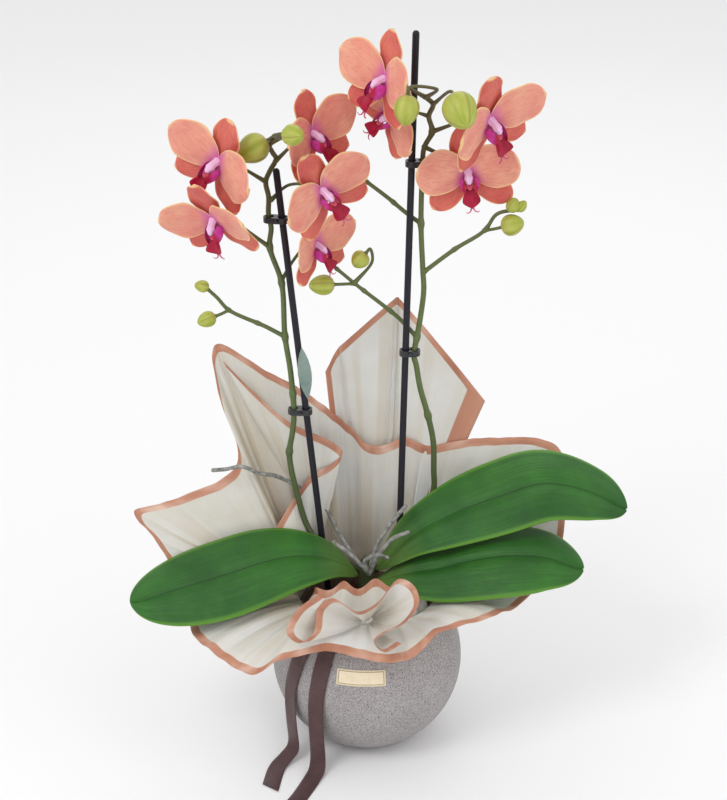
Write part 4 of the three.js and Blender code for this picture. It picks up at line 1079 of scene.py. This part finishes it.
# %% Clips
clip_black = Finish("clip_black", Roughness=0.35)
rub = clip_black.noise(clip_black.place(), 300, 3)
clip_black.paint(clip_black.two_tone(rub, colour(28, 28, 32), colour(48, 50, 54)))
clip_black.bump(rub, 0.0002)


def bevelled_piece(bm, name, finish, node, width):
    """A flat-faced piece with small bevels along its edges."""
    made = piece(bm, name, [finish], [node])
    made.data.shade_flat()
    bevel = made.modifiers.new("soft_edges", "BEVEL")
    bevel.width = width
    bevel.segments = 3
    bevel.limit_method = "ANGLE"
    bevel.angle_limit = math.radians(40)


def flat_faced(node):
    """A merged copy of a plain solid in which triangles that lie in one plane are one face again."""
    bm = plain_mesh(node)
    bmesh.ops.dissolve_limit(bm, angle_limit=math.radians(1), verts=bm.verts, edges=bm.edges)
    return bm


for name in ("clip_left_lower", "clip_left_upper", "clip_right_lower", "clip_right_upper"):
    bm = flat_faced(name)
    low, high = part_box(name)
    knob = (Vector((low.x, low.y, low.z)) + Vector((high.x, low.y, high.z))) / 2
    spot = Matrix.Translation(knob + Vector((0, -0.9 * MM, 0))) @ Matrix.Rotation(math.pi / 2, 4, "X")
    bmesh.ops.create_cone(
        bm, cap_ends=True, segments=20, radius1=1.9 * MM, radius2=1.5 * MM, depth=2.6 * MM, matrix=spot
    )
    bevelled_piece(bm, name + "_ring", clip_black, name, 0.3 * MM)

# %% Tag
tag_grey = Finish("tag_card", Roughness=0.5)
tint = tag_grey.noise(tag_grey.place(), 120, 3)
tag_grey.paint(tag_grey.two_tone(tint, colour(108, 128, 120), colour(134, 152, 144)))
tag_grey.bump(tint, 0.0001)
bevelled_piece(flat_faced("plant_tag"), "blank_tag", tag_grey, "plant_tag", 0.25 * MM)

# %% [markdown]
# ## The wrapping film
# Frosted film is gathered round the plant. Its main part is a skirt: its edge stands up behind, makes a cone to
# the left and falls over the pot in points at the front. A cloth simulation could fold it, but pleats as tight as
# these would need a very fine one. So it is a grid that runs round the neck and up to that edge, with pleats
# pressed into it square to its surface. Its UV map holds how far each place is from the edge, in metres, because a
# copper band 7 mm wide follows the edge.

# %% Frosted film
film_frosted = Finish("frosted_film", Transmission_Weight=0.12, IOR=1.35)
flat = film_frosted.uv()
from_edge = film_frosted.axis(flat, "Y")  # in metres
crinkle = film_frosted.noise(film_frosted.stretched(flat, (90, 24, 1)), 1, 5, 0.6)
haze = film_frosted.noise(film_frosted.place(), 16, 4)
milky = film_frosted.two_tone(haze, colour(226, 221, 208), colour(236, 236, 234))
# Painted shade: the film turns a darker beige away from its edge, deep in towards the neck.
deeper = film_frosted.math("MULTIPLY", from_edge, 5)
milky = film_frosted.blend(film_frosted.ramp(deeper, (0.2, 0.0), (0.85, 0.75)), milky, colour(190, 172, 144))
# Painted shade in the pleats: darker beige stripes where the film folds over on itself, stronger deep in towards the
# neck.
layers = film_frosted.noise(film_frosted.stretched(flat, (11, 0.8, 1)), 1, 2, 0.4)
layers = film_frosted.ramp(layers, (0.5, 0.0), (0.53, 0.6))
layers = film_frosted.math("MULTIPLY", layers, film_frosted.ramp(deeper, (0.05, 0.2), (0.4, 1.0)))
milky = film_frosted.blend(layers, milky, colour(206, 190, 164))
# Painted highlights: the copper band's lightest stripes stand in for the shine of metal foil.
painted_glint = film_frosted.noise(film_frosted.stretched(flat, (9, 40, 1)), 1, 2, 0.5)
copper = film_frosted.ramp(
    painted_glint, (0.3, colour(184, 122, 96)), (0.52, colour(208, 150, 124)), (0.74, colour(240, 206, 186))
)
band = film_frosted.ramp(film_frosted.math("MULTIPLY", from_edge, 50), (0.33, 1.0), (0.35, 0.0))  # up to 7 mm
film_frosted.paint(film_frosted.blend(band, milky, copper))
film_frosted.roughen(film_frosted.ramp(band, (0.0, 0.5), (1.0, 0.3)))
film_frosted.bump(crinkle, 0.0012, 0.7)

# %% Skirt
FILM_SHEET_THICKNESS = 0.3
FILM_NECK_RADIUS = 60.3
FILM_MOUTH_RADIUS = 59.3
FILM_HEM = 99.5
FILM_NECK_TOP = 137.5
FILM_EDGE = [(126, -42, 146), (156, 0, 150), (174, 50, 172), (166, 70, 240), (104, 72, 247), (52, 68, 242),
             (33, 67, 250), (6, 64, 243), (-18, 66, 264), (-47, 70, 288), (-86, 66, 314), (-128, 58, 342),
             (-128, 44, 312), (-112, 34, 240), (-166, 24, 212), (-199, 12, 206), (-182, 6, 184), (-162, -8, 150),
             (-152, -32, 132), (-146, -55, 124), (-123, -75, 116), (-97, -86, 106), (-66, -88, 122), (-30, -88, 130),
             (10, -96, 124), (40, -95, 128), (58, -86, 146), (99, -68, 148)]
AROUND = 432
NECK_SHARE = 0.2  # of the rows that lie along the neck, under the ribbon
FILM_ROWS = 50
PLEATS = 24
NECK_FOLD = 0.35
FOLD_SHARES, FOLD_DEPTHS = [0, 0.06, 0.3, 0.7, 1], [NECK_FOLD, 3.0, 5.2, 3.8, 2.0]
DROOPING_EDGE = 160  # where the edge is lower than this, the film bellies upwards on its way to it
BELLY, HOLLOW = 5, -6
EDGE_WAVE = 1.6
CRINKLE_REPEATS = 4


def peaks(turns):
    """Sharp folds between -1 and 1: a zigzag with slightly rounded flanks."""
    zigzag = 4 * abs((turns % 1) - 0.5) - 1
    return zigzag * (1.25 - 0.25 * zigzag * zigzag)


def pleat(s):
    broad = PLEATS / 2 * s + 0.3 * math.sin(6 * math.pi * s)
    middling = PLEATS * s + 0.2 * math.sin(10 * math.pi * s)
    fine = 53 * s + 0.3
    return 0.6 * peaks(broad) + 0.3 * peaks(middling) + 0.1 * peaks(fine)


def film_sheet(name, columns, rows, place, paint, stands_for=(), closed=False):
    """A sheet of film with its wall, laid by place and painted with distances from the edge by paint."""
    bm = bmesh.new()
    made = grid_patch(bm, columns, rows, place, paint)
    if closed:
        bmesh.ops.remove_doubles(bm, verts=made, dist=WELD)
    print(name, "takes", round(sum(face.calc_area() for face in bm.faces), 4), "square metres of film")
    return thicken(piece(bm, name, [film_frosted], stands_for), FILM_SHEET_THICKNESS * MM)


film_edge = smooth(FILM_EDGE, AROUND, closed=True)
film_edge = film_edge + np.array([[0, 0, EDGE_WAVE * noise.noise(Vector(point) * 0.09)] for point in film_edge])


def film_place(s, t):
    index = round(s * AROUND) % AROUND
    tip = film_edge[index]
    angle = math.atan2(tip[1], tip[0])
    fold = pleat(index / AROUND)
    ring = np.array([math.cos(angle), math.sin(angle), 0])
    if t <= NECK_SHARE:
        share = t / NECK_SHARE
        reach = FILM_MOUTH_RADIUS + (FILM_NECK_RADIUS - FILM_MOUTH_RADIUS) * max(0, 2 * share - 1)
        return Vector((ring * (reach + NECK_FOLD * fold) + (0, 0, FILM_HEM + (FILM_NECK_TOP - FILM_HEM) * share)) * MM)
    share = (t - NECK_SHARE) / (1 - NECK_SHARE)
    start = ring * FILM_NECK_RADIUS + (0, 0, FILM_NECK_TOP)
    bulge = BELLY if tip[2] < DROOPING_EDGE else HOLLOW
    point = start + (tip - start) * share + (0, 0, bulge * math.sin(math.pi * share))
    sideways = film_edge[(index + 2) % AROUND] - film_edge[index - 2]
    outward = np.cross(sideways, tip - start)
    depth = np.interp(share, FOLD_SHARES, FOLD_DEPTHS)
    return Vector((point + unit(outward) * depth * fold) * MM)


def film_paint(s, t):
    index = round(s * AROUND) % AROUND
    reach = np.linalg.norm(film_edge[index][:2]) - FILM_NECK_RADIUS
    rise = film_edge[index][2] - FILM_NECK_TOP
    share = (t - NECK_SHARE) / (1 - NECK_SHARE)
    return (s * CRINKLE_REPEATS, (1 - share) * math.hypot(reach, rise) * MM)


skirt = film_sheet("film_skirt", AROUND, FILM_ROWS, film_place, film_paint, ["wrapper_film"], closed=True)

# %% [markdown]
# ## The back flap
# Behind the skirt stands a second layer of film, whose corner is the highest point of the wrapping. It could be a
# part of the skirt's grid, but as a sheet of its own it keeps its straight edges. Its sides are edges too, so its
# copper band is measured from the nearest of three edges.

# %% Back flap
BACK_FLAP_EDGE = [(-36, 82, 306), (-25, 85, 327), (-21, 85, 331), (23, 86, 372), (26, 86, 374), (29, 86, 371),
                  (64, 86, 328), (103, 82, 278)]
BACK_FLAP_REACH = FILM_NECK_RADIUS + 3.5
BACK_FLAP_FOOT = 144.5
FLAP_COLUMNS = 90
flap_top = smooth(BACK_FLAP_EDGE, FLAP_COLUMNS + 1)


def on_neck(first, last, reach, height):
    """The line along which a sheet stands on the film's neck, between two bearings."""

    def foot(s):
        return np.array(round_axis(reach, first + (last - first) * s, height))

    return foot


flap_foot = on_neck(108, 48, BACK_FLAP_REACH, BACK_FLAP_FOOT)
FLAP_FOLDS = 7
FLAP_FOOT_WIDTH = 66


def flap_place(s, t):
    top = flap_top[round(s * FLAP_COLUMNS)]
    low = flap_foot(s)
    depth = np.interp(t, [0, 0.1, 0.5, 1], [0.4, 1.6, 1.4, 0.5])
    fold = np.array([0, 1, 0]) * depth * peaks(FLAP_FOLDS * s + 0.5 * math.sin(9 * s))
    return Vector((low + (top - low) * t + fold) * MM)


def flap_paint(s, t):
    top = flap_top[round(s * FLAP_COLUMNS)]
    length = np.linalg.norm(top - flap_foot(s))
    width = np.linalg.norm(flap_top[0] - flap_top[-1]) * t + FLAP_FOOT_WIDTH * (1 - t)
    return (s * 0.8, min((1 - t) * length, min(s, 1 - s) * width) * MM)


flap = film_sheet("film_back_flap", FLAP_COLUMNS, 60, flap_place, flap_paint, ["wrapper_back"])

# %% [markdown]
# ## The ruffle
# In front a corner of the film is bunched up where the ribbon holds it, and its edge winds in loops. So it is a
# fan: rows run from one long winding edge line towards one root on the neck. They stop a little short of that
# root, because all of them would meet in it.

# %% Ruffle
RUFFLE_EDGE = [(-40, -84, 182), (-58, -88, 168), (-66, -92, 150), (-56, -95, 142), (-44, -92, 150), (-40, -82, 168),
               (-28, -84, 178), (-8, -92, 170), (8, -88, 176), (26, -84, 196), (38, -88, 192), (42, -94, 180),
               (30, -100, 164), (14, -102, 156), (6, -104, 148), (14, -106, 140), (28, -102, 146)]
RUFFLE_ROOT = np.array([0, 3.3 - FILM_NECK_RADIUS, 138.8])
RUFFLE_COLUMNS = 220
RUFFLE_START = 0.12  # where the rows stop, as a share of the way from the root to the edge
RUFFLE_FOLDS = 17
RUFFLE_FOLD_DEPTH = 0.8
ruffle_edge = smooth(RUFFLE_EDGE, RUFFLE_COLUMNS + 1)


def ruffle_place(s, t):
    outer = ruffle_edge[round(s * RUFFLE_COLUMNS)]
    inner = RUFFLE_ROOT + (outer - RUFFLE_ROOT) * RUFFLE_START
    sag = np.array([0, -1.5, -1.5]) * math.sin(math.pi * t)
    fold = np.array([0, 1, 0.4]) * RUFFLE_FOLD_DEPTH * peaks(RUFFLE_FOLDS * s) * (1 - t)
    return Vector((inner + (outer - inner) * t + sag + fold) * MM)


def ruffle_paint(s, t):
    outer = ruffle_edge[round(s * RUFFLE_COLUMNS)]
    return (s * 1.6, (1 - t) * (1 - RUFFLE_START) * np.linalg.norm(outer - RUFFLE_ROOT) * MM)


ruffle = film_sheet("film_ruffle", RUFFLE_COLUMNS, 28, ruffle_place, ruffle_paint, ["wrapper_ruffle"])

# %% [markdown]
# ## Inner folds of the film
# Two more folds of the same film stand inside the skirt. One is the front sheet of the cone on the left, whose
# edge curls back towards the neck. The other stands up behind the ruffle and hides the mouth of the pot.


# %% Left fold and mouth fold
def standing_fold(name, columns, foot, edge, depth, waves):
    """Film between foot(s) on the neck and a smooth edge line, with upright waves in it."""

    def place(s, t):
        low, top = foot(s), edge[round(s * columns)]
        outward = unit(np.array([low[0], low[1], 0]))
        wave = depth * math.sin(math.pi * min(1, t * 1.1)) * peaks(waves * s + 0.3 * math.sin(7 * s))
        return Vector((low + (top - low) * t + outward * wave) * MM)

    def paint(s, t):
        return (s * 0.9, (1 - t) * np.linalg.norm(edge[round(s * columns)] - foot(s)) * MM)

    made = film_sheet(name, columns, 36, place, paint)


FOLD_COLUMNS = 120
LEFT_FOLD_EDGE = [(-122, 51, 330), (-97, 50, 302), (-66.5, 46, 275), (-30, 46, 256), (-21, 45, 247), (-29, 42, 238),
                  (-47, 37.5, 229), (-66, 26, 206), (-82, 10, 184)]
left_edge = smooth(LEFT_FOLD_EDGE, FOLD_COLUMNS + 1)
left_foot = on_neck(124, 184, 54, 137)
standing_fold(
    "film_left_fold", FOLD_COLUMNS, left_foot, left_edge, depth=1.2, waves=5
)

MOUTH_FROM, MOUTH_TO = 208, 336  # bearings between which the fold hides the mouth
along = np.linspace(0, 1, FOLD_COLUMNS + 1)
bearings = np.radians(MOUTH_FROM + (MOUTH_TO - MOUTH_FROM) * along)
reaches = 50 + 3.5 * np.sin(2 * math.pi * 3 * along)
heights = 150 + 22 * np.sin(math.pi * along) + 3 * np.sin(26 * along)
mouth_edge = np.stack([reaches * np.cos(bearings), reaches * np.sin(bearings), heights], axis=1)
mouth_foot = on_neck(MOUTH_FROM, MOUTH_TO, 57.5, 132)
standing_fold(
    "film_mouth_fold", FOLD_COLUMNS, mouth_foot, mouth_edge, depth=2.5, waves=6
)

# %% [markdown]
# ## The ribbon
# A brown satin ribbon, 15 mm wide, is tied round the film's neck just above the pot, with a flat knot left of the
# front and two tails that hang over the belly of the pot and lie on the table. Fine cross ribs and a soft sheen
# make it satin. The band is a grid closed to a ring, the knot is a ball pinched at its waist, and a tail is a
# narrow grid along a smooth line, as thick as woven ribbon.

# %% Satin
satin = Finish("brown_satin", Roughness=0.42, Sheen_Weight=0.12, Sheen_Roughness=0.4)
flat = satin.uv()
RIB_SPACING = 0.0016
ribs = satin.math("SINE", satin.math("MULTIPLY", satin.axis(flat, "X"), 2 * math.pi / RIB_SPACING))
brown = satin.two_tone(satin.noise(satin.place(), 120, 4), colour(62, 36, 38), colour(84, 50, 52))
satin.paint(satin.blend(satin.ramp(ribs, (0.0, 0.0), (1.0, 0.35)), brown, colour(112, 78, 78)))
satin.bump(ribs, 0.00015)

# %% Band and knot
RIBBON_WIDTH = 15
RIBBON_FOOT = 121.5
RIBBON_HEAD = 135
RIBBON_REACH = FILM_NECK_RADIUS + 1.2
BAND_LENGTH = 0.39
BAND_STEPS = 180
KNOT_BEARING = 234
KNOT_HEIGHT = 128.3
KNOT_HALF = (8.5, 4.2, 7.2)  # across, outwards and up
bm = bmesh.new()


def band_place(s, t):
    turn = 2 * math.pi * (round(s * BAND_STEPS) % BAND_STEPS) / BAND_STEPS
    crease = 0.45 * math.sin(3 * math.pi * t + 1.5 * math.sin(2 * turn)) + 0.25 * peaks(PLEATS * turn / math.tau)
    reach = RIBBON_REACH + 0.4 + crease
    height = RIBBON_FOOT + (RIBBON_HEAD - RIBBON_FOOT) * t
    return Vector((reach * math.cos(turn), reach * math.sin(turn), height)) * MM


made = grid_patch(bm, BAND_STEPS, 14, band_place, lambda s, t: (s * BAND_LENGTH, t * RIBBON_WIDTH * MM))
bmesh.ops.remove_doubles(bm, verts=made, dist=WELD)
bmesh.ops.solidify(bm, geom=list(bm.faces), thickness=0.5 * MM)
knot = bmesh.ops.create_uvsphere(bm, u_segments=56, v_segments=32, radius=1, calc_uvs=True)
for vertex in knot["verts"]:
    x, y, z = vertex.co
    waist = 1 - 0.16 * math.exp(-((x / 0.3) ** 2))
    crease = 1 + 0.05 * math.sin(9 * z + 4 * x) * (1 - x * x)
    vertex.co = Vector((x * KNOT_HALF[0] * crease, y * KNOT_HALF[1] * waist * crease, z * KNOT_HALF[2] * waist)) * MM
knot_reach = RIBBON_REACH + 0.6 + KNOT_HALF[1] * 0.8
spot = Matrix.Translation(Vector(round_axis(knot_reach, KNOT_BEARING, KNOT_HEIGHT)) * MM)
facing_out = Matrix.Rotation(math.radians(KNOT_BEARING) + math.pi / 2, 4, "Z")
bmesh.ops.transform(bm, matrix=spot @ facing_out, verts=knot["verts"])
piece(turned_outwards(bm), "ribbon_band_and_knot", [satin], ["ribbon_band"])

# %% Tails
TAILS = {
    "ribbon_tail_left": dict(
        rim=226, belly=219, floor=[(-64, -54, 9), (-70, -59, 2.5), (-77, -70, 0), (-82, -99, 0)]
    ),
    "ribbon_tail_right": dict(
        rim=243, belly=239, floor=[(-42, -73, 9), (-43, -78, 2.5), (-47, -88, 0), (-62, -124, 0)]
    ),
}
TAIL_STEPS = 150
TAIL_THICKNESS = 0.4
TAIL_CURL = 0.5
SLANT, SLANT_FROM = 4, 0.9  # each tail's end is cut at a slant


def on_belly(bearing, height):
    return round_axis(ball_reach(ball_radius, height * MM) / MM + 1, bearing, height)


def tail_line(rim, belly, floor):
    top, middle = pot_height / MM, belly_height / MM
    points = [(*on_belly(rim, top)[:2], top + 1)]
    for stop in (0.25, 0.5, 0.75, 1):
        points.append(on_belly(rim + (belly - rim) * stop, top + (middle - top) * stop))
    points.append((*points[-1][:2], middle * 0.45))
    points += [(x, y, z + 0.7) for x, y, z in floor]
    return smooth(points, TAIL_STEPS + 1)


for name, tail in TAILS.items():
    line = tail_line(**tail)
    ways = np.gradient(line, axis=0)
    so_far = travelled(line)

    def tail_place(s, t):
        row = round(s * TAIL_STEPS)
        across, middle, way = 2 * t - 1, line[row], unit(ways[row])
        outward = unit(np.array([middle[0], middle[1], 0]))
        side = np.array([-outward[1], outward[0], 0])
        side = unit(side - way * side.dot(way))
        normal = np.cross(side, way)
        if normal.dot(outward + (0, 0, 0.5)) < 0:
            normal = -normal
        curl = TAIL_CURL * across**2 * math.sin(0.11 * so_far[row])
        slant = SLANT * across * max(0, s - SLANT_FROM) / (1 - SLANT_FROM)
        return Vector((middle + side * across * RIBBON_WIDTH / 2 + normal * (curl + 0.3) + way * slant) * MM)

    def tail_paint(s, t):
        return (so_far[round(s * TAIL_STEPS)] * MM, t * RIBBON_WIDTH * MM)

    bm = bmesh.new()
    grid_patch(bm, TAIL_STEPS, 8, tail_place, tail_paint)
    made = thicken(piece(bm, name + "_satin", [satin], [name]), TAIL_THICKNESS * MM)
    flat = (RIBBON_WIDTH * MM, so_far[-1] * MM)
    print(name, "is", round(so_far[-1]), "mm long")
